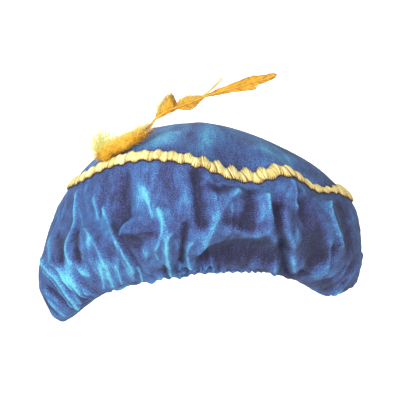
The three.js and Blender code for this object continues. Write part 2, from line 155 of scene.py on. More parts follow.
# The cloth without folds: a Catmull-Rom spline up the profile at that angle, turned about Z.
def bareCloth(angle, station):
    angle, station = np.broadcast_arrays(np.asarray(angle, float), np.asarray(station, float))
    turn = np.radians(angle)
    tuckR, tuckUp, tuckZ = clothShape["tuck"]
    hemR = ovalRadius(clothShape["halfWidth"], clothShape["halfDepth"], turn)
    hemZ = aroundValue(hemLine, "z", angle)
    part = {key: aroundValue(sections, key, angle) for key in sections if key != "at"}
    radii = [hemR - tuckR * (part["lowR"] - hemR), hemR, part["lowR"], part["outR"], part["highR"]]
    radii += [aroundValue(seamLine, "r", angle), part["domeR"], 0 * turn, -part["domeR"]]
    heights = [hemZ + tuckUp - tuckZ * (part["lowZ"] - hemZ), hemZ, part["lowZ"], part["outZ"], part["highZ"]]
    apex = 0 * turn + clothShape["apex"]
    heights += [aroundValue(seamLine, "z", angle), part["domeZ"], apex, part["domeZ"]]
    k = np.clip(np.floor(station).astype(int), 0, 5)
    radius, height = [
        splineThrough(*[np.take_along_axis(rows, (k + i)[None], 0)[0] for i in range(4)], station - k)
        for rows in (np.stack(radii), np.stack(heights))
    ]
    return roundPoint(radius, turn, height)


# The outward normal: across the cloth crossed with up the cloth, from small steps.
def bareNormal(angle, station):
    below, above = np.maximum(station - 0.01, 0.0), np.minimum(station + 0.01, 5.99)
    across = bareCloth(angle + 0.5, station) - bareCloth(angle - 0.5, station)
    return unit(np.cross(across, bareCloth(angle, above) - bareCloth(angle, below)), 0.0)


# 0 below low and 1 above high, with 3 u^2 - 2 u^3 between.
def smoothStep(low, high, value):
    u = np.clip((value - low) / (high - low), 0.0, 1.0)
    return u * u * (3.0 - 2.0 * u)


# Smooth noise from -1 to 1: random values on a lattice, blended between its corners. The
# first axis repeats after wrap cells.
def latticeNoise(x, y, seed, wrap=64):
    values = np.random.default_rng(seed).uniform(-1.0, 1.0, (wrap, 64))
    left, low = np.floor(x).astype(int), np.floor(y).astype(int)
    u, v = x - left, y - low
    u, v = u * u * (3 - 2 * u), v * v * (3 - 2 * v)
    i, j, m, n = left % wrap, (left + 1) % wrap, low % 64, (low + 1) % 64
    bottom = values[i, m] * (1 - u) + values[j, m] * u
    top = values[i, n] * (1 - u) + values[j, n] * u
    return bottom * (1 - v) + top * v


# Folds run from one place to another by way of a middle place, each place an angle and a
# station. Then come the width, the rise, the sharp, the skew and the tone. A positive rise is
# a ridge and a negative one a valley. A lower sharp makes the crest more pointed. The tone is
# painted light: how much lighter a ridge is painted, as a painted highlight, or how much darker
# a valley is painted, as painted shade.
folds = [
    (-60, 3.66, -58.5, 2.85, -54.5, 1.8, 4.5, 2.6, 1.6, 0.3, 0.46),
    (-57, 3.3, -50.5, 2.69, -45.5, 2.03, 4, 1.6, 1.6, 0.4, 0.18),
    (-48, 2.65, -41, 2.12, -39.5, 1.57, 3.5, 3, 1.5, 0.4, 0.32),
    (-46.5, 3.42, -44.5, 3.18, -42.5, 2.92, 4, 2.5, 1.6, 0.4, 0.28),
    (-41, 3.19, -31.5, 2.07, -30, 1.28, 3.5, 4, 1.5, 0.4, 0.38),
    (-28, 2.71, -29.5, 2.5, -30.5, 2.25, 3.5, 1, 1.6, 0.4, 0.25),
    (-77, 2.7, -67.5, 2.34, -65, 2.04, 4, 2.2, 1.6, 0.4, 0.3),
    (-74.5, 2.24, -64.5, 1.61, -67.5, 0.97, 4.5, 4, 1.6, 0.4, 0.4),
    (-73, 1.98, -68, 1.63, -69, 1.11, 3, 2.5, 1.6, 0.3, 0.3),
    (-64, 1.99, -60, 1.56, -63.5, 1.03, 3, 3, 1.6, 0.3, 0.34),
    (-60.5, 1.64, -58, 1.48, -59.5, 1.21, 3, 2, 1.6, 0.3, 0.3),
    (-52.5, 1.76, -52.5, 1.61, -49.5, 1.49, 3.5, 1.5, 1.7, 0.3, 0.3),
    (-58, 1.48, -58, 1.32, -59, 1.12, 2.5, 1.5, 1.7, 0.3, 0.25),
    (-55.5, 1.44, -56, 1.32, -56.5, 1.18, 2.5, 1.5, 1.7, 0.3, 0.25),
    (-42, 1.6, -44, 1.4, -48, 1.1, 4, 0.6, 1.7, 0.2, 0.4),
    (-39.5, 1.55, -41, 1.34, -43.5, 1.05, 4, 0.6, 1.7, 0.2, 0.42),
    (-36, 1.49, -37, 1.28, -39, 0.99, 3, 0.6, 1.7, 0.2, 0.3),
    (-77.5, 1.68, -75.5, 1.53, -74, 1.38, 3.5, 1.5, 1.7, 0.3, 0.26),
    (-28, 1.3, -28, 1.15, -30, 0.73, 2.5, 1, 1.7, 0.2, 0.5),
    (-15, 2.79, -13.5, 2.28, -17, 1.76, 4.5, 4, 1.6, 0.3, 0.36),
    (-10.5, 2.12, -13.5, 1.57, -15.5, 0.37, 5, 4.5, 1.7, 0.3, 0.38),
    (-3, 1.89, -5.5, 1.5, -4.5, 0.83, 5, 4, 1.7, 0.3, 0.34),
    (-20, 3.2, -19, 2.97, -17.5, 2.6, 3.5, 2.2, 1.6, 0.3, 0.4),
    (-22, 3.35, -20.5, 3.22, -19.5, 3.04, 6, 0.6, 2, 0.1, 0.3),
    (-22.5, 1.8, -22, 1.66, -22, 1.53, 2.5, 1, 1.7, 0.2, 0.35),
    (-18, 1.62, -18, 1.53, -18, 1.44, 2.5, 1, 1.7, 0.2, 0.35),
    (-5.5, 2.31, -6.5, 1.78, -9, 1.11, 4, -5.5, 1.6, -0.2, -0.5),
    (-26.5, 2.05, -25, 1.98, -23.5, 1.9, 6.5, -4, 2, 0, -0.9),
    (-24.5, 2.14, -20, 2.18, -16, 2.12, 3, 0.0, 1.7, 0, -0.28),
    (-26, 2.1, -25, 2.01, -23.5, 1.94, 3, -1.5, 1.8, 0, -0.5),
    (-31.5, 3.59, -31.5, 3.24, -30, 2.81, 7, -4.5, 1.8, -0.2, -0.3),
    (-69.5, 2.71, -61.5, 2.34, -60, 1.97, 6, -2.5, 1.8, -0.2, -0.25),
    (-54, 2.65, -50.5, 2.15, -50.5, 1.79, 4.5, -2.2, 1.8, 0, -0.28),
    (-36, 2.8, -29, 1.91, -28, 1.33, 3.5, -2, 1.7, 0, -0.18),
    (-16.5, 1.15, -17.5, 0.57, -17, 0.4, 3, -2.5, 1.7, 0, -0.4),
    (-2, 3.69, -1, 2.85, 0.5, 2.28, 5.5, -6, 1.9, -0.2, -0.5),
    (5, 3.3, 7.5, 3.13, 10, 3.34, 6.5, -3, 2.2, 0, -0.42),
    (1.5, 1.18, 14.5, 1.47, 30, 1.51, 15, -8, 3, 0, -0.48),
    (10.5, 2.33, 14, 2.31, 18.5, 2.26, 9, -2.5, 2.2, 0, -0.28),
    (18.5, 3.52, 17.5, 2.72, 16.5, 2.28, 6, -4.5, 1.9, -0.2, -0.42),
    (27.5, 2.8, 30, 1.9, 45, 0.92, 5, -7, 1.8, -0.2, -0.6),
    (48.5, 1.18, 49.5, 1.18, 51.5, 1.18, 4.5, -4, 1.8, 0, -0.5),
    (37, 2.91, 39, 2.23, 49.5, 1.61, 11, -5, 2.6, 0, -0.25),
    (53.5, 1.99, 55.5, 1.8, 58, 1.61, 3.5, -2.5, 1.7, 0, -0.2),
    (60.5, 3.49, 61.5, 2.82, 63.5, 2.35, 11, -4, 2.4, 0, -0.15),
    (61.5, 1.21, 63.5, 1.27, 66.5, 1.34, 5, -2, 1.8, 0, -0.25),
    (13.5, 3.09, 5, 2.25, -3, 1, 7, 5.5, 1.7, 0.3, 0.2),
    (3.5, 1.4, 5, 1.05, 6, 0.75, 3.5, 2.4, 1.7, 0.2, 0.34),
    (13.5, 2.14, 19, 2.01, 24.5, 2.12, 4.5, 3.5, 1.7, 0, 0.14),
    (24.5, 3.08, 27, 2.21, 37.5, 0.94, 4.5, 5, 1.6, 0.3, 0.26),
    (27, 2.02, 28, 1.83, 29.5, 1.61, 3, 0.5, 1.7, 0, 0.18),
    (30, 2.69, 33, 1.99, 45, 1.21, 7, 4.5, 1.9, 0.2, 0.12),
    (37.5, 1.58, 40, 1.44, 43.5, 1.26, 3.5, 1, 1.7, 0, 0.3),
    (32, 3.5, 32, 3.16, 32.5, 2.89, 9.5, 2.5, 2.2, 0, 0.2),
    (35, 3.66, 35, 3.2, 35.5, 2.81, 3, 3.5, 1.5, 0.4, 0.3),
    (51.5, 3.33, 51.5, 2.66, 56.5, 2.17, 3.5, 5, 1.5, 0.4, 0.28),
    (46.5, 2.73, 48, 2.39, 50.5, 2.17, 7, 2, 2, 0.1, 0.1),
    (49.5, 2.1, 53.5, 1.8, 58, 1.48, 4.5, 4, 1.6, 0.3, 0.27),
    (71, 2.09, 74, 1.61, 75.5, 1.14, 4.5, 3, 1.6, 0.3, 0.26),
    (43.5, 1.43, 49, 1.37, 58.5, 1.27, 5, 3, 1.8, 0, 0.1),
    (-75, 1.66, -71.5, 1.35, -71.5, 1.02, 3, -2, 1.7, 0, -0.42),
    (-61.5, 1.42, -60.5, 1.2, -62, 0.9, 2.5, -2, 1.7, 0, -0.36),
    (-66, 1.58, -65.5, 1.32, -68, 0.95, 2.2, 1.2, 1.6, 0.3, 0.2),
    (-77.5, 1.5, -76.5, 1.26, -77.5, 1.04, 3, 1.5, 1.6, 0.3, 0.32),
    (-80.5, 1.55, -79.5, 1.38, -79.5, 1.2, 2.5, -1.5, 1.7, 0, -0.36),
    (-84, 1.2, -82, 1.42, -82, 1.66, 13, 3, 2.2, 0, 0),
    (-27, 0.62, -25, 0.6, -22.5, 0.58, 9, 6, 2.4, 0, 0),
    (-68, 0.8, -68, 1.1, -70, 1.5, 20, -3.5, 2.2, 0, 0),
    (-86, 1.6, -88, 1.9, -88, 2.4, 18, -3, 2.2, 0, 0),
    (-84, 2.8, -80, 3.1, -76, 3.4, 15, -2.5, 2, 0, 0),
    (86, 2.2, 82, 2.8, 76, 3.3, 14, -2.5, 2, 0, 0),
    (86, 0.7, 87, 1.1, 87, 1.6, 14, -1, 2.2, 0, 0),
]
# The tone column holds a painted highlight on ridges and painted shade in valleys.
riseColumn, paintedLightColumn = 7, 10
foldGain, foldSqueeze = 1.15, 0.95  # the whole table's height and width
backFolds = {
    "from": 100.0,
    "to": 263.0,
    "spacing": 4.6,
    "shift": 1.1,
    "low": (1.05, 1.9),
    "high": (2.3, 3.7),
    "lean": 3.2,
    "bow": 2.0,
    "width": (3.2, 5.0),
    "valleyWidth": 1.25,  # times a ridge's
    "rise": (2.4, 4.6),
    "sharp": (1.5, 1.8),
    "skew": 0.3,
    # Painted highlight on the ridges and painted shade in the valleys.
    "tone": (0.2, 0.4),
}
fineFolds = {
    "count": 520,
    "low": 0.35,
    "span": 3.2,
    "crowding": 1.5,  # towards the hem
    "length": (0.15, 0.9),
    "slant": 5.0,  # degrees round the head for each station up
    "bow": 1.2,
    "width": (1.5, 3.6),
    "rise": (0.3, 1.4),
    "signs": (0.45, 0.55),  # shares of valleys and of ridges
    "gain": (1.05, 0.8),  # below and above the widest part
    "gainAt": 1.8,
    "sharp": (1.4, 1.9),
    "skew": 0.35,
    "limits": (-0.9, 2.4),
    # Noise finer than a crease: rise, degrees for a cell, cells for a station, seed, cells round.
    "crumple": [(0.5, 3.0, 6.0, 11, 120), (0.25, 1.5, 13.0, 12, 240)],
}
drapes = {"count": 15, "rise": 2.6, "wander": 1.7, "slant": 1.1}
pleats = {"count": 66, "rise": 2.9, "wander": 2.0, "from": 0.45, "until": 1.15}
pleatShare = {
    "at": [0, 8, 18, 60, 120, 180, 240, 300, 335],
    "share": [1, 1, 0.25, 0.25, 0.6, 0.8, 0.6, 0.3, 0.5],
}

# Broad patches where the pile is painted lighter or darker: partly pile brushed the other way,
# and partly painted highlight on the left, towards the key lamp, and painted shade on the right.
# The same columns as the folds, with how much lighter or darker in place of the rise.
brushedAndPaintedLight = [
    (8, 1.2, 20, 1.5, 32, 1.5, 24, -0.16, 2.4, 0),
    (14, 0.9, 26, 0.85, 40, 0.8, 16, -0.2, 2.4, 0),
    (37, 3.3, 43, 2.4, 50, 1.7, 15, -0.22, 2.4, 0),
    (62, 3.5, 66, 2.4, 76, 1.7, 18, -0.23, 2.2, 0),
    (-42.5, 1.58, -41.5, 1.38, -45, 1.12, 9, 0.16, 2.4, 0),
    (-57, 1.75, -53, 1.6, -47, 1.52, 6, 0.22, 2, 0),
    (-68, 2.0, -63, 1.75, -59, 1.62, 6, 0.14, 2, 0),
    (-25, 3.7, -24, 3.2, -22, 2.9, 12, 0.14, 2, 0),
    (-13, 3.75, -12, 3.3, -11, 2.9, 8, -0.14, 2, 0),
    (-7, 3.7, -6.5, 3.3, -6, 2.9, 4.5, 0.1, 2, 0),
    (-38, 3.7, -36, 3.2, -34, 2.6, 9, -0.16, 2, 0),
    (20, 3.6, 22, 3.2, 23, 2.9, 9, 0.14, 2, 0),
    (40, 3.7, 41, 3.3, 41, 2.8, 7, 0.1, 2, 0),
    (46, 1.1, 58, 0.9, 70, 1.0, 14, -0.24, 2.2, 0),
    (44, 0.75, 56, 0.5, 68, 0.55, 12, -0.2, 2.2, 0),
    (84, 3.0, 88, 2.0, 86, 1.2, 22, -0.2, 2.2, 0),
    (-66, 1.9, -64, 1.5, -67, 1.1, 10, 0.02, 2, 0),
    (-62, 2.8, -64, 2.4, -62, 1.95, 8, -0.14, 2, 0),
    (-53, 2.7, -50, 2.3, -50, 1.85, 9, -0.16, 2, 0),
    (-76, 1.5, -80, 1.1, -76, 0.7, 18, 0.03, 2, 0),
    (-58, 1.5, -60, 1.2, -62, 0.8, 12, 0.02, 2, 0),
]
# On the crown: brushed pile together with painted highlights and painted shade over the dome, darker towards
# the right.
crownBrushedAndPaintedLight = [
    (-20, 4.44, -16, 4.53, -12, 4.58, 12, 0.2, 2.4, 0),
    (-6, 4.55, -4, 4.75, -2, 5.0, 12, -0.2, 2, 0),
    (2, 4.45, 4, 4.75, 7, 5.1, 12, 0.2, 2.4, 0),
    (9, 4.3, 12, 4.55, 17, 4.9, 10, -0.17, 2.2, 0),
    (19, 4.3, 23, 4.6, 32, 4.95, 12, -0.15, 2.2, 0),
    (34, 4.7, 38, 4.58, 42, 4.42, 8, 0.22, 2, 0),
    (50, 4.9, 51, 4.72, 46, 4.45, 3.4, 0.22, 1.6, 0),
    (60, 5.0, 63, 4.7, 60, 4.35, 12, -0.24, 2.2, 0),
    (72, 4.7, 72, 4.45, 70, 4.2, 11, -0.2, 2, 0),
]


# How far round an angle is from another, from -180 to 180 degrees.
def turnFrom(angle, middle):
    return np.mod(angle - middle + 180.0, 360.0) - 180.0


# A fold's height: its rise times exp(-(distance / width) ^ sharp), where the distance is
# measured on the flattened cloth to a quadratic curve through the fold's three places. The
# width is larger on the left of the line and smaller on its right by the fold's skew. The
# weight is the column that takes the rise's place.
def foldSum(rows, angle, station, squeeze=1.0, weight=riseColumn):
    total = np.zeros(angle.shape)
    per, up = clothShape["perDegree"], clothShape["perStation"]
    s = np.linspace(0.0, 1.0, 9)[:, None]
    first, middle, last = (1 - s) * (1 - 2 * s), 4 * s * (1 - s), s * (2 * s - 1)
    for row in np.asarray(rows, float):
        width, sharp, skew = row[6] * squeeze, row[8], row[9]
        line = first * row[0:2] + middle * row[2:4] + last * row[4:6]
        reach = 3.2 * width * (1.0 + abs(skew))
        near = np.abs(turnFrom(angle, row[2])) * per < np.ptp(line[:, 0]) * per + reach
        near &= (station > line[:, 1].min() - reach / up) & (station < line[:, 1].max() + reach / up)
        if row[weight] == 0.0 or not near.any():
            continue
        x, y = turnFrom(angle[near], row[2]) * per, station[near] * up
        best, side = np.full(x.shape, 1e9), np.zeros(x.shape)
        spots = (line - [row[2], 0.0]) * [per, up]
        for start, end in zip(spots[:-1], spots[1:]):
            dx, dy = end - start
            share = ((x - start[0]) * dx + (y - start[1]) * dy) / (dx * dx + dy * dy + 1e-9)
            share = np.clip(share, 0, 1)
            offX, offY = x - start[0] - share * dx, y - start[1] - share * dy
            far = np.hypot(offX, offY)
            side = np.where(far < best, offX / (far + 0.5), side)
            best = np.minimum(best, far)
        total[near] += row[weight] * np.exp(-((best / (width * (1.0 - skew * side))) ** sharp))
    return total


# Small creases: short folds at random places, mostly running up the cloth, more of them and
# deeper near the hem.
def randomFolds(look):
    count = look["count"]
    a = rng.uniform(-180.0, 180.0, count)
    t = look["low"] + look["span"] * rng.random(count) ** look["crowding"]
    length = rng.uniform(*look["length"], count)
    lean = look["slant"] * rng.normal(size=count) * length
    bow = rng.normal(size=count) * look["bow"]
    width = rng.uniform(*look["width"], count)
    rise = rng.uniform(*look["rise"], count) * rng.choice([-1.0, 1.0], count, p=look["signs"])
    rise = rise * np.where(t < look["gainAt"], *look["gain"])
    sharp = rng.uniform(*look["sharp"], count)
    places = [a, t, a + lean / 2 + bow, t + length / 2, a + lean, t + length]
    return np.stack(places + [width, rise, sharp, np.full(count, look["skew"])], 1)


# Long folds round the back: ridges and valleys by turns, each running up the cloth with a
# lean and a bow.
def makeBackFolds(look):
    middle = np.arange(look["from"], look["to"], look["spacing"])
    count = len(middle)
    middle = middle + rng.normal(size=count) * look["shift"]
    sign = np.where(np.arange(count) % 2 == 0, 1.0, -1.0)
    low, high = rng.uniform(*look["low"], count), rng.uniform(*look["high"], count)
    lean, bow = rng.normal(size=count) * look["lean"], rng.normal(size=count) * look["bow"]
    width = rng.uniform(*look["width"], count) * np.where(sign > 0, 1.0, look["valleyWidth"])
    rise = rng.uniform(*look["rise"], count) * sign
    # Ridges get a painted highlight and valleys get painted shade.
    tone = rng.uniform(*look["tone"], count) * sign
    places = [middle - lean, low, middle + bow, (low + high) / 2, middle + lean, high]
    sharp = rng.uniform(*look["sharp"], count)
    return np.stack(places + [width, rise, sharp, look["skew"] * sign, tone], 1)


folds = np.concatenate([np.array(folds, float), makeBackFolds(backFolds)])
fineRows = randomFolds(fineFolds)


# The height of all the folds above the bare cloth: the listed ones, soft drapes as
# sin(count * turn + wander) round the back and sides, and pleats of the same kind by the
# hem. They fade out under the braid.
def foldHeight(angle, station):
    turn = np.radians(angle)
    height = foldGain * foldSum(folds, angle, station, foldSqueeze)
    body = smoothStep(0.3, 1.6, station)
    behind = 0.3 + 0.7 * smoothStep(-0.2, -0.6, np.cos(turn))
    bend = drapes["wander"] * np.sin(2 * turn + drapes["slant"] * station)
    height += drapes["rise"] * body * behind * np.sin(drapes["count"] * turn + bend)
    wander = latticeNoise(angle / 10.0, station * 1.3 + 7, 5, 36)
    wave = np.sin(pleats["count"] * turn + pleats["wander"] * wander)
    size = 0.75 + 0.45 * latticeNoise(angle / 7.5, station * 0.8, 6, 48)
    size = size * aroundValue(pleatShare, "share", angle)
    tight = 1.0 - smoothStep(pleats["from"], pleats["until"], station)
    height += pleats["rise"] * size * tight * (0.35 + 0.65 * smoothStep(0.0, 0.25, station)) * wave
    return height * smoothStep(0.08, 0.42, clothShape["seam"] - station)


# The small creases and a fine crumple of noise, within limits.
def fineHeight(angle, station):
    height = foldSum(fineRows, angle, station)
    for rise, cell, rate, seed, wrap in fineFolds["crumple"]:
        height += rise * latticeNoise(angle / cell, station * rate, seed, wrap)
    height = height * smoothStep(0.08, 0.4, clothShape["seam"] - station)
    return np.clip(height, *fineFolds["limits"])


# A mesh from points in millimetres and arrays of faces.
def placeMesh(name, points, *faces):
    mesh = bpy.data.meshes.new(name)
    mesh.from_pydata(points.reshape(-1, 3) / perMetre, [], [face for some in faces for face in some.tolist()])
    mesh.polygons.foreach_set("use_smooth", np.full(len(mesh.polygons), True))
    piece = bpy.data.objects.new(name, mesh)
    bpy.context.scene.collection.objects.link(piece)
    return piece


# Quads over a grid of points: rows along the first axis, closed round the second, and
# closed along the first as well when looped.
def gridFaces(rows, columns, looped=False):
    i = np.arange(rows if looped else rows - 1)[:, None]
    j = np.arange(columns)[None]
    after, side = (i + 1) % rows, (j + 1) % columns
    quads = [i * columns + j, i * columns + side, after * columns + side, after * columns + j]
    return np.stack([np.broadcast_to(q, (len(i), columns)) for q in quads], -1).reshape(-1, 4)


# Fans of triangles that close a grid's first and last rows to the two points after it.
def endFans(rows, columns):
    j = np.arange(columns)
    after, base, pole = (j + 1) % columns, (rows - 1) * columns, np.full(columns, rows * columns)
    return np.concatenate([np.stack([pole, after, j], -1), np.stack([pole + 1, base + j, base + after], -1)])


# A number for each vertex, which the material reads by name.
def addValues(piece, **values):
    for name, value in values.items():
        layer = piece.data.attributes.new(name, "FLOAT", "POINT")
        layer.data.foreach_set("value", np.asarray(value, np.float32).ravel())


# A UV map from one pair of numbers for each vertex. Where it goes all the way round, faces
# across the join get the far value carried past the end, so that it doesn't run backwards.
def addMap(piece, pairs, period=None):
    mesh = piece.data
    corner = np.zeros(len(mesh.loops), int)
    mesh.loops.foreach_get("vertex_index", corner)
    flat = np.asarray(pairs, float).reshape(-1, 2)[corner]
    if period:
        across = flat[:, 0].reshape(-1, 4)
        jump = across.max(1) - across.min(1) > period / 2
        flat[:, 0] = np.where(jump[:, None] & (across < period / 2), across + period, across).ravel()
    layer = mesh.uv_layers.new(name="cloth")
    layer.data.foreach_set("uv", flat.reshape(-1).astype(np.float32))


# Many strands as one mesh: a ring of sides round each point of each path, with the ends
# capped. Paths are strands by points by three, and radii and values strands by points.
def strandMesh(name, paths, radii, sides=4, **values):
    count, steps, _ = paths.shape
    along = unit(np.gradient(paths, axis=1), 1e-9)
    mean = np.abs(along.mean(1, keepdims=True))
    steep = mean[..., 2:] > 0.65 * np.linalg.norm(mean, axis=-1, keepdims=True)
    first = unit(np.cross(along, np.where(steep, [1.0, 0.3, 0.0], [0.0, 0.2, 1.0])), 1e-9)
    second = np.cross(along, first)
    turn = np.linspace(0.0, 2 * np.pi, sides, endpoint=False)
    ring = first[:, :, None] * np.cos(turn)[:, None] + second[:, :, None] * np.sin(turn)[:, None]
    points = paths[:, :, None] + ring * np.broadcast_to(radii, (count, steps))[..., None, None]
    start = (np.arange(count) * steps * sides)[:, None, None]
    caps = np.array([np.arange(sides)[::-1], (steps - 1) * sides + np.arange(sides)])
    faces = (gridFaces(steps, sides) + start).reshape(-1, 4), (caps + start).reshape(-1, sides)
    piece = placeMesh(name, points, *faces)
    for key, value in values.items():
        each = np.clip(np.broadcast_to(value, (count, steps)), 0.0, 1.0)
        addValues(piece, **{key: np.repeat(each.ravel(), sides)})
    return piece


# A random number for each strand, as a column.
def scatter(count):
    return rng.normal(size=(count, 1))


# A material with its node tree and its Principled shader.
def newMaterial(name):
    material = bpy.data.materials.new(name)
    material.use_nodes = True
    tree = material.node_tree
    return material, tree, tree.nodes["Principled BSDF"]


# Each input takes a link from a socket, or a plain number or colour.
def feed(tree, node, inputs):
    for key, value in inputs.items():
        if isinstance(value, bpy.types.NodeSocket):
            tree.links.new(value, node.inputs[key])
        else:
            node.inputs[key].default_value = value


# A node of a kind with its settings, and then its inputs.
def addNode(tree, kind, inputs=None, **settings):
    node = tree.nodes.new(kind)
    for key, value in settings.items():
        setattr(node, key, value)
    feed(tree, node, inputs or {})
    return node


# One operation on up to three numbers.
def mathNode(tree, operation, a, b=0.5, c=0.0, clamp=False):
    inputs = {0: a, 1: b, 2: c}
    return addNode(tree, "ShaderNodeMath", inputs, operation=operation, use_clamp=clamp).outputs[0]


# Noise at a place, with settings such as detail and roughness.
def noiseNode(tree, place, scale, **more):
    inputs = {"Vector": place, "Scale": scale}
    inputs.update({key.title(): value for key, value in more.items()})
    return addNode(tree, "ShaderNodeTexNoise", inputs).outputs[0]


# a where the factor is 0 and b where it is 1.
def mixColour(tree, factor, a, b):
    return addNode(tree, "ShaderNodeMix", {0: factor, 6: a, 7: b}, data_type="RGBA").outputs[2]


# Noise stays near its middle, so the part of it between two levels is spread over 0 to 1.
def spreadNode(tree, factor, low=0.36, high=0.64):
    inputs = {0: factor, 1: low, 2: high, 3: 0.0, 4: 1.0}
    return addNode(tree, "ShaderNodeMapRange", inputs, interpolation_type="SMOOTHSTEP").outputs[0]


# The number that addValues gave each vertex.
def attributeNode(tree, name):
    return addNode(tree, "ShaderNodeAttribute", attribute_name=name).outputs["Fac"]


# Linear colour from a hex code: v / 12.92, or ((v + 0.055) / 1.055) ^ 2.4 above the knee.
def rgb(hexText):
    values = [int(hexText[i:i + 2], 16) / 255.0 for i in (0, 2, 4)]
    return tuple([v / 12.92 if v <= 0.04045 else ((v + 0.055) / 1.055) ** 2.4 for v in values] + [1.0])


# Colours at places from 0 to 1, blended in straight lines.
def toneRamp(tree, factor, tones):
    ramp = tree.nodes.new("ShaderNodeValToRGB")
    stops = ramp.color_ramp.elements
    while len(stops) < len(tones):
        stops.new(0.5)
    for stop, (place, colour) in zip(stops, tones):
        stop.position = place
        stop.color = rgb(colour)
    tree.links.new(factor, ramp.inputs[0])
    return ramp.outputs[0]


# An empty shader group that puts out numbers.
def newGroup(name, outputs):
    tree = bpy.data.node_groups.new(name, "ShaderNodeTree")
    for output in outputs:
        tree.interface.new_socket(output, in_out="OUTPUT", socket_type="NodeSocketFloat")
    return tree


# What the velvet and the fibres share: each vertex's own tone, shifted by a mask, picks the
# colour, another number of the vertex mixes in a second colour, and a height gives the bump.
def addFinish(tree, shader, look, tone, mask, share, other, height):
    tone = mathNode(tree, "ADD", mask, attributeNode(tree, tone), clamp=True)
    colour = mixColour(tree, attributeNode(tree, share), toneRamp(tree, tone, look["tones"]), other)
    inputs = {"Height": height, "Distance": look["bump"], "Strength": look["strength"]}
    bump = addNode(tree, "ShaderNodeBump", inputs)
    feed(tree, shader, {
        "Base Color": colour,
        "Normal": bump.outputs[0],
        "Roughness": look["roughness"],
        "Sheen Weight": look["sheen"],
        "Specular IOR Level": look["specular"],
    })


velvetLook = {
    # Dark stops give the painted shade in valleys and light ones the painted highlights on crests, as well as
    # the pile's own tones.
    "tones": [(0.0, "2D2D42"), (0.25, "464A7A"), (0.5, "4668A4"), (0.75, "5290C0"), (1.0, "70CAE0")],
    "backing": rgb("2C4684"),  # the plain inside
    "roughness": 0.7,
    "specular": 0.2,
    "sheen": 0.16,
    "sheenTint": rgb("A9DBFF"),
    "sheenRoughness": 0.4,
    "patches": 0.2,  # how far the crushed pile and the grain shift the tone
    "grain": 0.55,
    "bump": 0.0007,
    "strength": 0.8,
}
pileScales = {"drawn": (1.0, 0.35, 1.0), "broad": 0.09, "small": 0.34, "grain": 0.8, "tufts": 2.4}


# Crushed pile: patches where the pile lies another way, from two scales of noise drawn out
# up the cloth, and a fine grain of tufts.
def makePileGroup(scales):
    tree = newGroup("crushedPile", ("Patches", "Grain", "Height"))
    out = tree.nodes.new("NodeGroupOutput")
    place = addNode(tree, "ShaderNodeUVMap", uv_map="cloth").outputs[0]
    drawn = addNode(tree, "ShaderNodeMapping", {0: place, 3: scales["drawn"]}).outputs[0]
    broad = noiseNode(tree, drawn, scales["broad"], detail=3.0, distortion=0.9)
    small = noiseNode(tree, drawn, scales["small"], detail=3.0, distortion=0.6)
    grain = noiseNode(tree, place, scales["grain"], detail=4.0, roughness=0.8)
    tufts = noiseNode(tree, place, scales["tufts"], detail=1.0)
    patches = mathNode(tree, "MULTIPLY_ADD", small, 0.5, mathNode(tree, "MULTIPLY", broad, 0.5))
    feed(tree, out, {
        "Patches": spreadNode(tree, patches),
        "Grain": spreadNode(tree, grain),
        "Height": mathNode(tree, "MULTIPLY_ADD", grain, 0.8, tufts),
    })
    return tree


pileGroup = makePileGroup(pileScales)


# Velvet: the tone that each vertex carries, with its painted highlights and painted shade,
# shifted by the crushed pile's patches and grain, picks the colour, and the plain inside takes
# the backing's.
def makeVelvet(name, look):
    material, tree, shader = newMaterial(name)
    pile = addNode(tree, "ShaderNodeGroup", node_tree=pileGroup).outputs
    patches, grain = look["patches"], look["grain"]
    shift = mathNode(tree, "MULTIPLY_ADD", pile["Patches"], patches, -patches / 2)
    shift = mathNode(tree, "MULTIPLY_ADD", pile["Grain"], grain, shift)
    shift = mathNode(tree, "SUBTRACT", shift, grain / 2)
    addFinish(tree, shader, look, "tone", shift, "inside", look["backing"], pile["Height"])
    feed(tree, shader, {"Sheen Roughness": look["sheenRoughness"], "Sheen Tint": look["sheenTint"]})
    return material


velvet = makeVelvet("velvet", velvetLook)
print("velvet made")

panelSize = {
    "columns": 700,
    "crowding": 0.38,  # towards the front
    "side": {"stations": (0.0, 3.992), "rows": 108, "inside": 27},
    "crown": {"stations": (5.98, 4.008), "rows": 60, "inside": 16},
}
panelTone = {
    "side": {"level": 0.37, "blotch": 0.06, "seamShade": 0.1, "brushedAndPaintedLight": brushedAndPaintedLight},
    "crown": {"level": 0.49, "blotch": 0.13, "seamShade": 0.3, "brushedAndPaintedLight": crownBrushedAndPaintedLight},
    # Painted highlight on raised cloth and painted shade on sunk cloth, by fold height.
    "coarse": 0.016,  # for each millimetre of fold height, and more so by the hem
    "hemCoarse": 0.085,
    "fine": 0.17,
    # Painted highlights along the ridges and painted shade in the valleys.
    "ridgeHighlights": [(0.36, 0.95), (0.9, 0.35)],  # widths and strengths, a narrow line in a soft one
    "valleyShade": [(0.6, 0.5), (1.05, 0.6)],
    "seamWidth": 9.0,
    "hemShade": 0.1,
    "blotchSize": 17.0,  # on the top
}


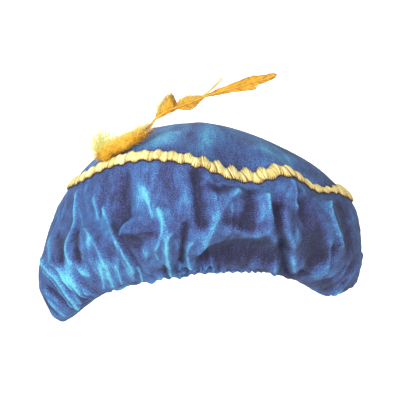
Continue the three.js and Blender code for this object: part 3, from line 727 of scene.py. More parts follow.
# How light the velvet looks, from 0 to 1: a painted highlight on crests, painted shade in valleys,
# beside the seam and by the hem, shifted by brushed pile with broad painted light and shade, and
# by random blotches.
def panelTones(a, t, coarse, fine, panel):
    look, own = panelTone, panelTone[panel]
    fromSeam = (t - clothShape["seam"]) * clothShape["perStation"] / look["seamWidth"]
    # Painted shade beside the seam, under the braid's edge.
    tone = own["level"] - own["seamShade"] * np.exp(-(fromSeam**2))
    byHem = 1.0 - smoothStep(0.3, 1.1, t)
    # Painted highlight on raised cloth and painted shade on sunk cloth, more so by the hem.
    tone = tone + (look["coarse"] + look["hemCoarse"] * byHem) * coarse + look["fine"] * fine
    # Brushed pile with broad painted highlight and painted shade.
    tone = tone + foldSum(own["brushedAndPaintedLight"], a, t)
    flat = bareCloth(a, t)[..., :2] / look["blotchSize"]
    around, level = latticeNoise(a / 7.5, t * 4.5, 41, 48), latticeNoise(flat[..., 0], flat[..., 1], 42)
    onTop = smoothStep(4.7, 5.3, t)
    tone = tone + own["blotch"] * (around * (1.0 - onTop) + level * onTop)
    # The side's ridges get painted highlights and its valleys get painted shade.
    if panel == "side":
        for sign, layers in ((1, look["ridgeHighlights"]), (-1, look["valleyShade"])):
            rows = folds[folds[:, paintedLightColumn] * sign > 0]
            for width, strength in layers:
                tone = tone + strength * foldSum(rows, a, t, width, paintedLightColumn)
    tone = tone - look["hemShade"] * (1.0 - smoothStep(0.0, 0.5, t))
    return np.clip(tone, 0.0, 1.0)


# The crown's own low waves: noise that fades out at the seam and at the apex.
def crownHeights(a, t):
    body = smoothStep(4.0, 4.5, t) * smoothStep(5.7, 4.9, t)
    coarse, fine = latticeNoise(a / 15.0, t * 2.2, 21, 24), latticeNoise(a / 3.75, t * 9.0, 22, 96)
    return coarse * body, 0.25 * fine * body


# A wall from two skins: the outer one with every fold and fine crease, and the inner one a
# thickness and two fifths of the fold's height below it along the bare cloth's normal. Columns
# crowd towards the front, at turn - crowding * sin(turn).
def wallSkins(panel):
    size = panelSize[panel]
    turn = np.linspace(0.0, 2 * np.pi, panelSize["columns"], endpoint=False)
    angle = np.degrees(turn - panelSize["crowding"] * np.sin(turn))
    skins, tones, insides, maps = [], [], [], []
    for inside in (0, 1):
        stations = np.linspace(*size["stations"], size["inside" if inside else "rows"])
        a, t = np.meshgrid(angle, stations[::-1] if inside else stations)
        if panel == "crown":
            coarse, fine = crownHeights(a, t)
        else:
            coarse = foldHeight(a, t)
            fine = 0.0 * a if inside else fineHeight(a, t)
        below = inside * (clothShape["thickness"] + 0.4 * np.abs(coarse))
        skins.append(bareCloth(a, t) + bareNormal(a, t) * (coarse + fine - below)[..., None])
        tones.append(panelTones(a, t, coarse, fine, panel))
        insides.append(np.full(a.shape, float(inside)))
        flat = np.stack([a * clothShape["perDegree"], t * clothShape["perStation"]], -1)
        maps.append(skins[-1][..., :2] if panel == "crown" else flat)
    return [np.concatenate(part) for part in (skins, tones, insides, maps)]


# The side panel: both skins in one loop from the hem to the seam and back.
def makeSide():
    skins, tones, insides, maps = wallSkins("side")
    piece = placeMesh("sideVelvet", skins, gridFaces(*tones.shape, looped=True))
    addMap(piece, maps, 360.0 * clothShape["perDegree"])
    addValues(piece, tone=tones, inside=insides)
    return piece


# The crown's rows start and end with a small ring round the apex, closed by a fan of
# triangles to one point.
def makeCrown():
    skins, tones, insides, maps = wallSkins("crown")
    apex = clothShape["apex"]
    poles = np.array([[0.0, 0.0, apex], [0.0, 0.0, apex - clothShape["thickness"]]])
    points = np.concatenate([skins.reshape(-1, 3), poles])
    piece = placeMesh("crownVelvet", points, gridFaces(*tones.shape), endFans(*tones.shape))
    addMap(piece, np.concatenate([maps.reshape(-1, 2), poles[:, :2]]))
    addValues(piece, tone=np.append(tones, [0.5, 0.5]), inside=np.append(insides, [0.0, 1.0]))
    return piece


# Gives a piece its material and its place on the body, and hides the solid that it stands for.
def settle(piece, material, node):
    piece.data.materials.append(material)
    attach(piece, "root")
    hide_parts(node)
    return piece


side = settle(makeSide(), velvet, "side_panel")
crown = settle(makeCrown(), velvet, "crown_tip")
print("panels made")

casingLook = {
    "innerHalfWidth": 81.0,
    "innerHalfDepth": 100.0,
    "clearance": 0.05,
    "height": 14.0,
    "thickness": 2.6,
    "drop": 3.0,
    "gathers": 66,
    "ruffle": 1.1,
    "columns": 792,
    "perDegree": 1.6,  # millimetres round the opening
    # Painted highlight on the gathers that stand out and painted shade between them.
    "tone": (0.4, 0.2),  # and its change with the gathers
    "stitches": 150,
    "stitchLength": 2.6,
    "stitchRadius": 0.3,
    "stitchAt": 0.86,  # of the casing's height
}


# A gathered band: a closed profile, flat inside, full outside and rounded at the bottom, is
# carried round the opening, and sin(gathers * turn) with a wandering phase ruffles it.
def casingPoint(look, angle, out, up):
    turn = np.radians(angle)
    wander = 1.4 * latticeNoise(angle / 12.0, 0.0 * angle + 3.3, 31, 30)
    wave = np.sin(look["gathers"] * turn + wander)
    size = 0.8 + 0.4 * latticeNoise(angle / 5.0, 0.0 * angle + 9.1, 32, 72)
    low = 1.0 - smoothStep(0.0, 0.75, up)
    radius = ovalRadius(look["innerHalfWidth"], look["innerHalfDepth"], turn)
    radius = radius + look["clearance"] + out * look["thickness"]
    radius = radius + look["ruffle"] * size * (0.35 + 0.65 * low) * (0.5 + 0.5 * wave) * out
    height = aroundValue(hemLine, "z", angle) - look["drop"] + up * look["height"]
    height = height - look["ruffle"] * size * low * wave * 0.9
    return roundPoint(radius, turn, height), wave * size


# The band's profile, in shares of its thickness and height, at every angle.
def makeCasing(look):
    out = np.array([0.0, 0.0, 0.0, 0.0, 0.06, 0.28, 0.58, 0.88, 1.0, 1.0, 0.98, 0.94, 0.8, 0.4])
    up = np.array([1.0, 0.66, 0.33, 0.1, 0.035, 0.0, 0.0, 0.045, 0.13, 0.35, 0.62, 0.85, 0.97, 1.0])
    angle = np.arange(look["columns"]) * 360.0 / look["columns"]
    a, k = np.meshgrid(angle, np.arange(len(out)))
    points, wave = casingPoint(look, a, out[k], up[k])
    piece = placeMesh("casingVelvet", points, gridFaces(*a.shape, looped=True)[:, ::-1])
    stepOut, stepUp = np.diff(out, prepend=0.0), np.diff(up, prepend=1.0)
    length = np.cumsum(np.hypot(stepOut * look["thickness"], stepUp * look["height"]))
    addMap(piece, np.stack([a * look["perDegree"], length[k]], -1), 360.0 * look["perDegree"])
    # Gathers that stand out are painted lighter and those that sink in darker: painted highlight and painted
    # shade.
    level, change = look["tone"]
    addValues(piece, tone=np.clip(level + change * wave * (out[k] > 0.1), 0.0, 1.0), inside=0.0 * a)
    return piece


# Stitches round the casing's inner face near its top, each one a short thread that bows
# inwards as a cosine.
def makeStitches(look):
    middle = np.arange(look["stitches"]) * 360.0 / look["stitches"]
    reach = look["stitchLength"] / 2 / look["perDegree"]
    a = middle[:, None] + np.linspace(-reach, reach, 5)
    bow = 0.32 * np.cos(np.linspace(-1.45, 1.45, 5))
    points, _ = casingPoint(look, a, 0.0 * a, 0.0 * a + look["stitchAt"])
    points = points - unit(points * [1.0, 1.0, 0.0], 0.0) * bow[:, None]
    return strandMesh("casingStitches", points, look["stitchRadius"], 5, shade=0.5)


casing = settle(makeCasing(casingLook), velvet, "hem_casing")
print("casing made")


# Fibre: streaks along a strand and a change from strand to strand, as a mask and a height.
def makeFibreGroup():
    tree = newGroup("fibre", ("Streaks", "Height"))
    tree.interface.new_socket("Scale", in_out="INPUT", socket_type="NodeSocketFloat")
    scale = tree.nodes.new("NodeGroupInput").outputs["Scale"]
    place = addNode(tree, "ShaderNodeTexCoord").outputs["Object"]
    broad = noiseNode(tree, place, scale, detail=3.0)
    fine = noiseNode(tree, place, mathNode(tree, "MULTIPLY", scale, 5.0), detail=2.0)
    both = mathNode(tree, "MULTIPLY_ADD", fine, 0.5, mathNode(tree, "MULTIPLY", broad, 0.5))
    feed(tree, tree.nodes.new("NodeGroupOutput"), {"Streaks": spreadNode(tree, both), "Height": fine})
    return tree


fibreGroup = makeFibreGroup()
usualFibre = {"specular": 0.35, "strength": 0.6, "bump": 0.0002, "sheen": 0.1, "spread": 0.3}
fibreLooks = {
    "gimp": {
        "tones": [(0.0, "7A5A38"), (0.25, "C0A256"), (0.5, "E4D688"), (0.75, "F0E8A8"), (1.0, "FCF8D6")],
        "other": "CEB26A", "roughness": 0.45, "scale": 600.0, "spread": 0.25,
    },
    # A dark strip that stands for the shadow along the braid's edges.
    "shadowTape": {
        "tones": [(0.0, "241C26"), (0.5, "3A2830"), (1.0, "6A4A32")],
        "other": "3A2A30", "roughness": 0.8, "scale": 500.0,
    },
    "thread": {
        "tones": [(0.0, "24345E"), (1.0, "4C6CAE")],
        "other": "24345E", "roughness": 0.7, "sheen": 0.2, "scale": 900.0,
    },
    "down": {
        "tones": [(0.0, "A44818"), (0.22, "A07E22"), (0.42, "E2A41C"), (0.66, "FAC42A"), (1.0, "FFE666")],
        "other": "EEF2A4", "roughness": 0.75, "sheen": 0.06, "scale": 260.0, "spread": 0.35, "bump": 0.0003,
    },
    "web": {
        "tones": [(0.0, "805A1A"), (0.3, "C29222"), (0.6, "E6AE2E"), (1.0, "F8D058")],
        "other": "F1F3A8", "roughness": 0.6, "sheen": 0.08, "scale": 200.0,
    },
    "quill": {
        "tones": [(0.0, "86661E"), (0.45, "CB982E"), (1.0, "EDC050")],
        "other": "A86A34", "roughness": 0.45, "scale": 240.0, "spread": 0.4,
    },
}


# The tone is the strand's own shade shifted by the fibre streaks, and the other colour is
# mixed in by the strand's second value.
def makeFibre(name):
    look = {**usualFibre, **fibreLooks[name]}
    material, tree, shader = newMaterial(name)
    fibre = addNode(tree, "ShaderNodeGroup", {"Scale": look["scale"]}, node_tree=fibreGroup)
    shift = mathNode(tree, "MULTIPLY_ADD", fibre.outputs["Streaks"], look["spread"], -look["spread"] / 2)
    addFinish(tree, shader, look, "shade", shift, "other", rgb(look["other"]), fibre.outputs["Height"])
    return material


fibres = {name: makeFibre(name) for name in fibreLooks}
print("fibres made")
settle(makeStitches(casingLook), fibres["thread"], "hem_casing")

braidLook = {
    "halfWidth": 4.8,
    "pitch": 14.5,  # of a scallop
    "sway": 1.8,
    "ribSpacing": 1.05,
    "ribRadius": 0.62,
    "fan": 0.29,  # how far the ribs turn with the sway
    "curl": 0.9,
    "jitter": 0.09,  # along the seam
    "uneven": (0.03, 0.1),  # the ribs' lengths and how high they lie
    "arch": 1.3,
    "puff": 0.55,
    "lift": 0.7,
    # In the shade: painted shade at the braid's two edges, painted shade in the creases between scallops, and
    # a painted highlight towards the upper edge.
    "shade": {"level": 0.62, "change": 0.16, "edge": 0.4, "creaseShade": 0.55, "across": 0.08, "warm": 0.1},
    "warmFrom": (-20.0, 45.0),  # degrees over which the ribs' other colour comes in
    "edging": 0.55,  # the share of ribs with it along their upper edge
    # How far the dark strip shows past the ribs as a painted shadow, and its tone.
    "shadowOverhang": 1.4,
    "shadowTapeShade": 0.3,
    "share": {
        "at": [0, 8, 30, 44, 51, 57, 63, 69, 100, 180, 290, 325, 350],
        "share": [1.15, 1.4, 1.4, 1.25, 1.1, 0.72, 0.72, 1.35, 1.2, 1.1, 1.1, 1.05, 1.05],
    },
    "swayShare": {"at": [0, 10, 30, 60, 180, 290, 335], "share": [1, 1.3, 1.3, 0.8, 1, 0.7, 0.6]},
}


# Lengths along the seam, to turn into angles.
def makeSeamTable():
    angle = np.linspace(0.0, 360.0, 1441)
    ring = bareCloth(angle, np.full(angle.shape, clothShape["seam"]))
    length = np.concatenate([[0.0], np.cumsum(np.linalg.norm(np.diff(ring, axis=0), axis=1))])
    return angle, length


seamAngles, seamLengths = makeSeamTable()


# The angle round the head at a length along the seam.
def seamAngle(along):
    return np.interp(np.mod(along, seamLengths[-1]), seamLengths, seamAngles)


# Where a place on the flat braid is: so far along the seam and so far up across it, lifted
# off the cloth along its normal.
def overSeam(along, across, lift):
    angle = seamAngle(along)
    seam = np.full(angle.shape, clothShape["seam"])
    reach = bareCloth(angle, seam + 0.05) - bareCloth(angle, seam - 0.05)
    station = seam + 0.1 * across / np.linalg.norm(reach, axis=-1)
    normal = bareNormal(angle, station)
    cloth = bareCloth(angle, station) + normal * foldHeight(angle, station)[..., None]
    return cloth + normal * lift[..., None]


# The braid's line: it sways as sin(2 pi along / pitch) with a wandering phase. The share is
# how wide the braid is at a place, and the wave is the phase for each millimetre.
def braidLine(look, along):
    total = seamLengths[-1]
    wave = 2 * np.pi * round(total / look["pitch"]) / total
    angle = seamAngle(along)
    share = aroundValue(look["share"], "share", angle)
    swayShare = aroundValue(look["swayShare"], "share", angle)
    sway = look["sway"] * swayShare * (0.85 + 0.25 * latticeNoise(angle / 9.0, 0 * angle, 51, 40))
    phase = wave * along + 0.7 * latticeNoise(angle / 12.0, 0 * angle + 5.5, 52, 30)
    return wave, angle, share, swayShare, sway, phase


# Each rib lies across the line, turned with the sway, and arches up from the cloth nearly as
# sqrt(1 - v^2), where v runs from -1 to 1 along it. Ribs are fullest where the braid bows out.
def makeBraid(look):
    total = seamLengths[-1]
    count = round(total / look["ribSpacing"])
    along = np.arange(count) * total / count + rng.normal(size=count) * look["jitter"]
    line = braidLine(look, along)
    wave = line[0]
    angle, share, swayShare, sway, phase = [part[:, None] for part in line[1:]]
    slope = look["fan"] * sway * wave * np.cos(phase)
    size = np.hypot(1.0, slope)
    v = np.linspace(-1.0, 1.0, 9)[None]
    length = rng.normal(1.0, look["uneven"][0], (count, 1)) - 0.1 * np.cos(2 * phase)
    half = look["halfWidth"] * share * length
    curl = look["curl"] * (v * v - 0.4) * np.cos(phase / 2)
    x = along[:, None] - (slope / size) * v * half + curl
    y = sway * np.sin(phase) + (1.0 / size) * v * half
    bulge = look["arch"] + look["puff"] * np.sin(phase) ** 2
    lift = look["lift"] + bulge * share * np.sqrt(np.clip(1.0 - 0.93 * v * v, 0.0, 1.0)) * 0.9
    lift = lift + scatter(count) * look["uneven"][1]
    radii = look["ribRadius"] * (0.8 + 0.2 * np.cos(v * 1.1)) * (0.85 + 0.2 * share)
    # The creases between scallops take painted shade.
    creaseShade = np.clip(np.sin(phase + 1.9), 0.0, 1.0) ** 10
    tone = look["shade"]
    # Ribs are painted darker at their ends along the braid's edges and lighter towards the upper edge:
    # painted shade and a painted highlight.
    shade = tone["level"] + tone["change"] * scatter(count) - tone["edge"] * v**6
    shade = shade - tone["creaseShade"] * (swayShare - 0.45) * creaseShade + tone["across"] * v
    warm = smoothStep(*look["warmFrom"], turnFrom(angle, 0.0))
    edge = smoothStep(0.35, 0.95, v) * (rng.random((count, 1)) < look["edging"])
    other = warm * (0.06 + 0.5 * edge) + 0.06 * edge
    shade = shade - tone["warm"] * warm
    return strandMesh("braidRibs", overSeam(x, y, lift), radii, 6, shade=shade, other=other)


# A dark strip under the ribs along the same swaying line, which shows past their ends as a painted shadow
# along both edges of the braid.
def makeShadowTape(look):
    count = round(seamLengths[-1] / look["pitch"]) * 14
    along = np.arange(count) * seamLengths[-1] / count
    _, _, share, _, sway, phase = braidLine(look, along)
    side = np.array([-1.0, -0.5, 0.0, 0.5, 1.0, 0.95, 0.5, 0.0, -0.5, -0.95])[:, None]
    up = np.array([0.0, 0.0, 0.0, 0.0, 0.0, 0.5, 0.8, 0.9, 0.8, 0.5])[:, None]
    across = sway * np.sin(phase) + side * (look["halfWidth"] * share + look["shadowOverhang"])
    points = overSeam(along + 0 * across, across, 0.3 + up + 0 * across)
    piece = placeMesh("braidShadowTape", points, gridFaces(*across.shape, looped=True)[:, ::-1])
    addValues(piece, shade=np.full(across.shape, look["shadowTapeShade"]), other=0 * across)
    return piece


ribs = settle(makeBraid(braidLook), fibres["gimp"], "gold_braid")
# The dark strip that stands for the shadow along the braid's edges.
shadowTape = settle(makeShadowTape(braidLook), fibres["shadowTape"], "gold_braid")
print("braid made")

quillTable = {
    "x": [-46.8, -44.1, -41.3, -36.8, -30.4, -21.2, -9.2, 3.7, 17.7, 32.6, 46.8, 60.0, 68.6, 70.9],
    "y": [-101.1, -99.8, -98.5, -97.0, -95.0, -92.5, -89.0, -85.5, -81.5, -77.5, -73.5, -70.0, -67.8, -67.2],
    "z": [145.0, 149.3, 152.9, 156.5, 160.6, 164.2, 168.3, 173.3, 177.9, 181.5, 186.1, 189.4, 192.6, 193.8],
    "radius": [1.25, 1.2, 1.2, 1.15, 1.1, 1.05, 1.0, 0.95, 0.9, 0.8, 0.7, 0.7, 0.9, 1.3],
}
tuftTable = {
    "x": [-92.6, -88.5, -81.6, -72.6, -63.2, -54.9, -48.7],
    "y": [-74.0, -84.2, -93.2, -99.5, -102.8, -103.8, -101.5],
    "z": [119.8, 122.4, 126.0, 130.0, 134.8, 139.4, 143.4],
    "across": [7.7, 7.7, 6.8, 6.8, 6.7, 6.2, 5.0],
    "deep": [4.8, 5.6, 6.3, 6.8, 6.4, 5.2, 3.6],
}


# A Catmull-Rom curve through a table's rows, each place from 0 to 1 along it.
def tableCurve(table, keys, place):
    rows = np.stack([table[key] for key in keys], -1).astype(float)
    rows = np.concatenate([2 * rows[:1] - rows[1:2], rows, 2 * rows[-1:] - rows[-2:-1]])
    spot = np.clip(place, 0.0, 1.0) * (len(rows) - 3)
    k = np.minimum(spot.astype(int), len(rows) - 4)
    return splineThrough(rows[k], rows[k + 1], rows[k + 2], rows[k + 3], (spot - k)[..., None])


# A curve's place and its direction there, from a small step each way.
def curveFrame(table, place, step):
    ahead = tableCurve(table, "xyz", place + step) - tableCurve(table, "xyz", place - step)
    return tableCurve(table, "xyz", place), unit(ahead)


# The quill's place, its way forward, its way up across the web and its way back out of it.
def quillFrame(place):
    at, forward = curveFrame(quillTable, place, 0.004)
    up = unit(np.cross(np.array([-0.15, 1.0, 0.1]), forward))
    up = up * np.sign(up[..., 2:])
    out = unit(np.cross(forward, up))
    return at, forward, up, out * np.sign(out[..., 1:2])


quillLook = {"steps": 90, "rounding": 5, "tip": 1.3, "sides": 12, "shade": 0.55, "knob": (0.955, 0.99)}


# The shaft with a rounded tip, which swells and darkens at the end as a knob.
def makeQuill(look):
    steps, rounding = look["steps"], np.linspace(0.35, 1.5, look["rounding"])
    place = np.concatenate([np.linspace(0.0, 1.0, steps), np.ones(len(rounding))])
    at, forward, _, _ = quillFrame(place)
    radius = tableCurve(quillTable, ["radius"], place)[:, 0]
    radius = radius * np.concatenate([np.ones(steps), np.cos(rounding)])
    at = at + forward * (look["tip"] * np.concatenate([np.zeros(steps), np.sin(rounding)]))[:, None]
    knob = smoothStep(*look["knob"], place)
    shade = look["shade"] - 0.25 * knob
    return strandMesh("quillShaft", at[None], radius, look["sides"], shade=shade, other=0.85 * knob)


settle(makeQuill(quillLook), fibres["quill"], "feather_quill")

websTable = {
    "webLow": {
        "node": "feather_clump_low", "count": 620, "sweep": 0.06, "upright": 0.08,
        "fringe": 0.42, "pale": 0.3,
        "at": [0.16, 0.2, 0.225, 0.27, 0.31, 0.345, 0.365, 0.38, 0.4],
        "above": [0.4, 0.9, 2.0, 4.8, 7.6, 10.6, 13.0, 12.0, 0.6],
        "below": [0.6, 1.4, 2.2, 3.0, 3.2, 3.2, 3.0, 2.4, 1.2],
    },
    "webMid": {
        "node": "feather_clump_mid", "count": 340, "sweep": 0.035, "upright": 0.0,
        "fringe": 0.34, "pale": 0.55,
        "at": [0.375, 0.4, 0.43, 0.455, 0.485, 0.515, 0.55],
        "above": [0.4, 2.6, 5.6, 6.6, 5.2, 3.0, 0.6],
        "below": [1.0, 3.2, 6.0, 7.2, 6.4, 3.4, 0.8],
    },
    "webTip": {
        "node": "feather_blade", "count": 900, "sweep": 0.05, "upright": 0.0,
        "fringe": 0.04, "pale": 0.0,
        "at": [0.54, 0.58, 0.62, 0.68, 0.74, 0.775, 0.795, 0.81, 0.88, 0.95, 1.0],
        "above": [0.5, 1.4, 2.6, 4.6, 5.4, 5.8, 5.8, 5.2, 3.2, 2.7, 2.3],
        "below": [0.6, 1.6, 3.0, 3.4, 5.8, 7.6, 7.0, 3.8, 3.0, 2.6, 2.1],
    },
}
barbLook = {
    "jitter": 0.0012,
    "sweep": (0.75, 1.2),  # times the web's
    "furthest": 0.992,
    "length": (0.93, 1.02),  # times the way to the outline
    "looseLength": (1.05, 1.5),
    "radius": 0.42,
    "thinning": 0.26,
    "looseRadius": 0.6,  # times the others'
    "rootUp": 0.3,
    "depth": (1.1, 0.5),  # behind the quill, and its change
    "tipDepth": 0.35,
    "cup": 1.2,
    "bow": (0.5, 0.25),
    "shade": {"level": 0.46, "change": 0.11, "streak": 0.16, "along": 0.16, "tip": 0.25},
}


# Barbs on both sides of the quill. Each one leaves it at a place, sweeps forward and ends
# where the web's outline is, as root + (tip - root) * u with a small bow.
def makeWeb(name, web, look):
    count = web["count"]
    low, high = web["at"][0], web["at"][-1]
    place = np.linspace(low, high, count) + rng.normal(size=count) * look["jitter"]
    place = np.clip(place, low, high)
    sign = np.where(np.arange(count) % 2 == 0, 1.0, -1.0)
    sweep = np.full(count, web["sweep"])
    if web["upright"]:
        sweep *= 1.0 - smoothStep(high - web["upright"], high - 0.15 * web["upright"] + 1e-6, place)
    ahead = np.minimum(place + sweep * rng.uniform(*look["sweep"], count), look["furthest"])
    loose = rng.random(count) < web["fringe"]
    reach = np.where(sign > 0, *[np.interp(ahead, web["at"], web[half]) for half in ("above", "below")])
    reach = reach * rng.uniform(*look["length"], count)
    reach = reach * np.where(loose & (sign > 0), rng.uniform(*look["looseLength"], count), 1.0)
    rootAt, _, rootUp, rootOut = quillFrame(place)
    tipAt, _, tipUp, tipOut = quillFrame(ahead)
    depth = look["depth"][0] + look["depth"][1] * rng.random(count)
    root = rootAt + rootUp * (look["rootUp"] * sign)[:, None] + rootOut * depth[:, None]
    tipDepth = depth + rng.normal(size=count) * look["tipDepth"]
    tip = tipAt + tipUp * (sign * reach)[:, None] + tipOut * tipDepth[:, None]
    u = np.linspace(0.0, 1.0, 7)[None]
    away = (u * (1 - u))[..., None]
    bow = rng.normal(size=(count, 1, 1)) * look["bow"][1] + look["bow"][0]
    paths = root[:, None] + (tip - root)[:, None] * u[..., None]
    paths = paths + (rootUp * sign[:, None])[:, None] * (away * bow * reach[:, None, None] * 0.6)
    paths = paths + rootOut[:, None] * (look["cup"] * u * (1 - u))[..., None]
    radii = (look["radius"] - look["thinning"] * u**1.5) * np.where(loose, look["looseRadius"], 1.0)[:, None]
    tone = look["shade"]
    streak = tone["streak"] * latticeNoise(place * 60.0, sign * 3.0 + 8.0, 62)[:, None]
    shade = tone["level"] + tone["change"] * scatter(count) + streak + tone["along"] * u - tone["tip"] * u**4
    fringed = (np.where(loose, 1.0, 0.4) * (sign > 0))[:, None]
    pale = web["pale"] * fringed * smoothStep(0.35, 1.0, u)
    return strandMesh(name, paths, radii, 4, shade=shade, other=pale)


for webName, web in websTable.items():
    settle(makeWeb(webName, web, barbLook), fibres["web"], web["node"])

tressLooks = {
    "strayBarb": {
        "node": "feather_barb", "along": 0.532, "radius": 0.5, "strands": 9,
        "shade": 0.4, "other": 0.25,
        "reach": (24.0, 10.2, -0.4), "bow": (1.1, 0.0, -1.2), "spread": (1.2, 0.5, 0.8),
    },
    "curledStrip": {
        "node": "feather_clump_low", "along": 0.376, "radius": 0.48, "strands": 22,
        "shade": 0.16, "other": 0.0,
        "reach": (-0.2, 11.8, -1.6), "bow": (1.0, -2.0, 0.0), "spread": (0.9, 0.5, 0.8),
    },
}


# A few barbs stuck together, bowing a little and ending near one place, which is so far
# forward, up and out from where they leave the quill.
def makeTress(name, look):
    count = look["strands"]
    at, _, up, out = quillFrame(look["along"] + np.linspace(-0.008, 0.008, count))
    root = at + up * 0.9 + out * 0.6
    middle = quillFrame(np.array([look["along"]]))
    tip = middle[0] + sum(step * axis for step, axis in zip(look["reach"], middle[1:]))
    tip = tip + rng.normal(size=(count, 3)) * look["spread"]
    u = np.linspace(0.0, 1.0, 9)[:, None]
    paths = root[:, None] + (tip - root)[:, None] * u + np.array(look["bow"]) * (u * (1 - u) * 2.2)
    radii = look["radius"] * (1.0 - 0.6 * u[:, 0])
    return strandMesh(name, paths, radii, 5, shade=look["shade"] + 0.1 * scatter(count), other=look["other"])


for tressName, tress in tressLooks.items():
    settle(makeTress(tressName, tress), fibres["web"], tress["node"])

tuftLook = {
    "offCrown": (0.57, 0.82),  # the tuft's way out: outwards and upwards
    "body": 0.8,  # the soft body's size beside the down's
    "bodyShade": 0.6,
    "strands": 2600,
    "start": (0.04, 0.97),  # places along the tuft
    "round": (-0.35, 1.35),  # half turns over it, from one side to the other
    "fan": 0.55,
    "length": (5.0, 13.0),
    "forward": 0.62,  # the share of strands that lie towards the quill
    "perPlace": 68.0,  # millimetres along the tuft
    "radius": 0.28,
    "size": (0.8, 0.16, 0.2),  # a share of the tuft's, with the lumps and where it hangs
    "lift": (0.26, 0.16),  # of the tips, and its change
    "dropAt": 0.27,  # where the down hangs over the braid, and by how much
    "drop": (0.0, -3.0, -4.0),
    # low and under are painted shade: on strands that face in towards the crown and on the underside.
    "shade": {
        "level": 0.94, "change": 0.1, "low": 0.36, "under": 0.48, "rust": 0.8, "tip": 0.1, "lumps": 0.1,
    },
}


# The tuft's middle line with its way over and its way out of the crown.
def tuftFrame(place):
    at, along = curveFrame(tuftTable, place, 0.01)
    outward, upward = tuftLook["offCrown"]
    level = np.hypot(at[..., 0], at[..., 1]) / outward
    out = unit(np.stack([at[..., 0] / level, at[..., 1] / level, np.full(level.shape, upward)], -1))
    return at, along, unit(np.cross(out, along)), out


# A soft body under the down: an oval with a few lumps, carried along the middle line.
def makeTuftBody(look):
    place = np.linspace(0.02, 0.98, 40)
    at, _, over, out = tuftFrame(place)
    size = tableCurve(tuftTable, ["across", "deep"], place) * look["body"]
    turn = np.linspace(0.0, 2 * np.pi, 24, endpoint=False)
    wide = (over[:, None] * np.cos(turn)[None, :, None]) * size[:, 0][:, None, None]
    high = (out[:, None] * np.sin(turn)[None, :, None]) * size[:, 1][:, None, None]
    lumps = 1.0 + 0.12 * np.sin(3 * turn[None] + 9 * place[:, None]) * np.sin(np.pi * place)[:, None]
    points = at[:, None] + (wide + high) * lumps[..., None]
    ends = np.concatenate([points[:1].mean(1), points[-1:].mean(1)])
    faces = gridFaces(*lumps.shape)[:, ::-1], endFans(*lumps.shape)[:, [0, 2, 1]]
    piece = placeMesh("downBody", np.concatenate([points.reshape(-1, 3), ends]), *faces)
    count = lumps.size + len(ends)
    addValues(piece, shade=np.full(count, look["bodyShade"]), other=np.zeros(count))
    return piece


# Down over the body: every strand starts on the oval and lies along it towards the quill or
# back, lifting a little at its tip. It runs on in a straight line past the tuft's ends.
def makeDown(look):
    count = look["strands"]
    start = (rng.uniform(*look["start"], count) ** 0.95)[:, None]
    turn = rng.uniform(look["round"][0] * np.pi, look["round"][1] * np.pi, count)[:, None]
    length = rng.uniform(*look["length"], count) * np.where(rng.random(count) < look["forward"], 1.0, -1.0)
    u = np.linspace(0.0, 1.0, 7)[None]
    free = start + length[:, None] / look["perPlace"] * u
    place = np.clip(free, 0.0, 1.0)
    spread = turn + scatter(count) * look["fan"] * u
    at, along, over, out = tuftFrame(place)
    size = tableCurve(tuftTable, ["across", "deep"], place)
    lumps = latticeNoise(place * 9.0 + 3.0, spread * 1.3 + 4.0, 61)
    under = smoothStep(0.1, -0.9, np.cos(turn))
    drop = under * np.exp(-(((place - look["dropAt"]) / 0.07) ** 2))
    level, byLumps, byDrop = look["size"]
    lift = look["lift"][0] + look["lift"][1] * scatter(count)
    rise = level + byLumps * lumps + byDrop * drop + lift * u**1.5
    beyond = np.maximum(free - 1.0, 0.0) + np.minimum(free, 0.0)
    points = at + over * (size[..., 0] * np.cos(spread) * rise)[..., None]
    points = points + out * (size[..., 1] * np.sin(spread) * rise)[..., None]
    points = points + along * (beyond * 60.0)[..., None] + np.array(look["drop"]) * drop[..., None]
    low = smoothStep(0.1, -0.9, np.sin(turn))
    rust = smoothStep(0.74, 0.95, start) * (np.cos(turn) < 0.2)
    tone = look["shade"]
    # Painted shade on strands that face in towards the crown and on the underside.
    shade = tone["level"] + tone["change"] * scatter(count) - tone["low"] * low - tone["under"] * under
    shade = shade - tone["rust"] * rust + tone["tip"] * u + tone["lumps"] * lumps
    top = smoothStep(0.3, 0.95, np.sin(turn))
    pale = np.clip(0.3 * scatter(count) - 0.25 + 0.4 * top, 0.0, 0.7) * u
    return strandMesh("downStrands", points, look["radius"] * (1.0 - 0.75 * u), 4, shade=shade, other=pale)


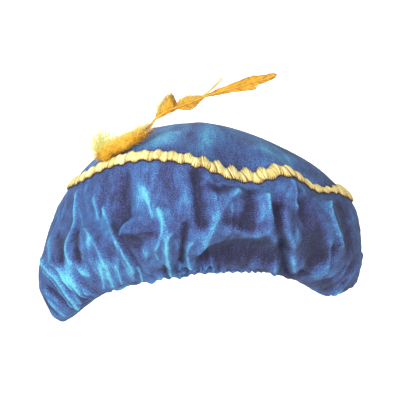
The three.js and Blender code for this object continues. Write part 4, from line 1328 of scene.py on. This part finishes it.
# Each wisp's root lies beside a middle line, out from it and over it by so much, and its tip
# is so far from the root in one of a few fans.
wispLooks = {
    "downWisps": {
        "node": "feather_down", "slot": "down", "count": 380, "out": 2.0, "over": 2.4, "jitter": 0.055,
        "place": [0.02, 0.05, 0.08, 0.2, 0.33, 0.5, 0.65, 0.8, 0.95],
        "tip": [
            (-10, 2, 3), (-13, 2, 15), (-5, 0, 26), (5, -2, 24), (7, -2, 16),
            (3, 0, 10), (3, 0, 10), (3, 0, 11), (8, 0, 5),
        ],
        "spread": [3.4, 4.4, 3.8, 2.8, 3.2, 2.4, 2.4, 2.6, 2.0],
        "share": [0.11, 0.19, 0.19, 0.12, 0.11, 0.08, 0.07, 0.08, 0.05],
    },
    "lowWisps": {
        "node": "feather_clump_low", "slot": "web", "count": 120, "out": 2.8, "over": 0.8, "jitter": 0.012,
        "place": [0.22, 0.26, 0.3, 0.335],
        "tip": [(-4, 0, 9), (-3, 0, 14), (-1, 0, 17), (1, 0, 17)],
        "spread": [1.6, 1.8, 1.8, 1.6],
        "share": [0.2, 0.25, 0.3, 0.25],
    },
    "midWisps": {
        "node": "feather_clump_mid", "slot": "web", "count": 80, "out": 2.8, "over": 0.6, "jitter": 0.012,
        "place": [0.425, 0.455, 0.49],
        "tip": [(0, 0, 10), (3, 0, 10), (5, 0, 8)],
        "spread": [1.6, 1.8, 1.6],
        "share": [0.35, 0.35, 0.3],
    },
}


# Pale wisps in fans: root to tip in a straight line with a bow, thinning to a hair.
def makeWisps(name, look, frameAt):
    count = look["count"]
    fan = rng.choice(len(look["place"]), count, p=look["share"])
    place = np.clip(np.array(look["place"])[fan] + rng.normal(size=count) * look["jitter"], 0.03, 0.98)
    at, _, over, out = frameAt(place)
    root = at + out * look["out"] + over * scatter(count) * look["over"]
    tip = root + np.array(look["tip"], float)[fan] * rng.uniform(0.45, 1.0, (count, 1))
    spread = np.array(look["spread"])[fan][:, None]
    tip = tip + rng.normal(size=(count, 3)) * spread * [1.0, 0.6, 0.6]
    u = np.linspace(0.0, 1.0, 8)
    bow = rng.normal(size=(count, 1, 3)) * 1.6 * u[:, None] * (1 - u[:, None])
    paths = root[:, None] + (tip - root)[:, None] * u[:, None] + bow
    shade = 0.8 + 0.1 * scatter(count)
    pale = 0.35 + 0.75 * u + 0.2 * scatter(count)
    return strandMesh(name, paths, 0.3 * (1.0 - 0.8 * u), 4, shade=shade, other=pale)


settle(makeTuftBody(tuftLook), fibres["down"], "feather_down")
settle(makeDown(tuftLook), fibres["down"], "feather_down")
for wispName, wisp in wispLooks.items():
    wisps = makeWisps(wispName, wisp, tuftFrame if wispName == "downWisps" else quillFrame)
    settle(wisps, fibres["down"], wisp["node"])
print("feather made")

studio = {
    "floorZ": -420.0,
    "halfWidth": 6000.0,
    "front": -4000.0,
    "bendFrom": 1500.0,
    "bendRadius": 1500.0,
    "wallTop": 5000.0,
    "floorColour": rgb("F6F5F2"),
    "floorRoughness": 0.9,
    "seen": rgb("FEFDFB"),
    "world": 0.36,
}
lamps = {  # the size is in metres
    "key": {
        "at": (-1100, -1250, 700), "aim": (0, -40, 60), "size": 1.1, "watts": 28.0, "tint": (0.92, 1.0, 1.05),
    },
    "fill": {
        "at": (600, -1500, 300), "aim": (0, 0, 60), "size": 1.0, "watts": 16.0, "tint": (1.12, 1.0, 0.97),
    },
    "rim": {
        "at": (-500, 900, 900), "aim": (0, 0, 100), "size": 0.8, "watts": 8.0, "tint": (1.0, 1.0, 1.0),
    },
}


# What the camera sees gets one colour and what lights the piece another.
def seenColour(tree, unseen, seen):
    return mixColour(tree, addNode(tree, "ShaderNodeLightPath").outputs["Is Camera Ray"], unseen, seen)


# The floor runs back and curves up into a wall: a profile swept sideways, flat, then a
# quarter circle, then upright. What the camera sees of it glows softly, so that it stays pale.
def makeBackdrop(look):
    bend = np.radians(np.linspace(0.0, 90.0, 16))
    start, radius = look["bendFrom"], look["bendRadius"]
    y = np.concatenate([[look["front"]], start + radius * np.sin(bend), [start + radius]])
    z = np.concatenate([[0.0], radius - radius * np.cos(bend), [look["wallTop"]]]) + look["floorZ"]
    x = np.array([-look["halfWidth"], look["halfWidth"]])
    points = np.stack(np.broadcast_arrays(x[:, None], y[None], z[None]), -1)
    k = np.arange(len(y) - 1)
    backdrop = placeMesh("backdrop", points, np.stack([k, k + len(y), k + len(y) + 1, k + 1], -1))
    material, tree, shader = newMaterial("backdrop")
    feed(tree, shader, {
        "Base Color": look["floorColour"],
        "Roughness": look["floorRoughness"],
        "Emission Color": seenColour(tree, (0.0, 0.0, 0.0, 1.0), look["seen"]),
        "Emission Strength": 1.0,
    })
    backdrop.data.materials.append(material)


# An even grey light from all round, seen as the same pale colour as the backdrop.
def makeWorld(look):
    world = bpy.data.worlds.new("world")
    world.use_nodes = True
    tree = world.node_tree
    dim = (look["world"],) * 3 + (1.0,)
    feed(tree, tree.nodes["Background"], {0: seenColour(tree, dim, look["seen"])})
    bpy.context.scene.world = world


# A square area lamp that points at its aim.
def addLamp(name, look):
    data = bpy.data.lights.new(name, "AREA")
    data.size = look["size"]
    data.energy = look["watts"]
    data.color = look["tint"]
    at = Vector(look["at"])
    placeLooking(name, data, at, Vector(look["aim"]) - at)


makeBackdrop(studio)
makeWorld(studio)
for lampName, lamp in lamps.items():
    addLamp(lampName, lamp)
bpy.context.scene.view_settings.view_transform = "Standard"
print("studio made")
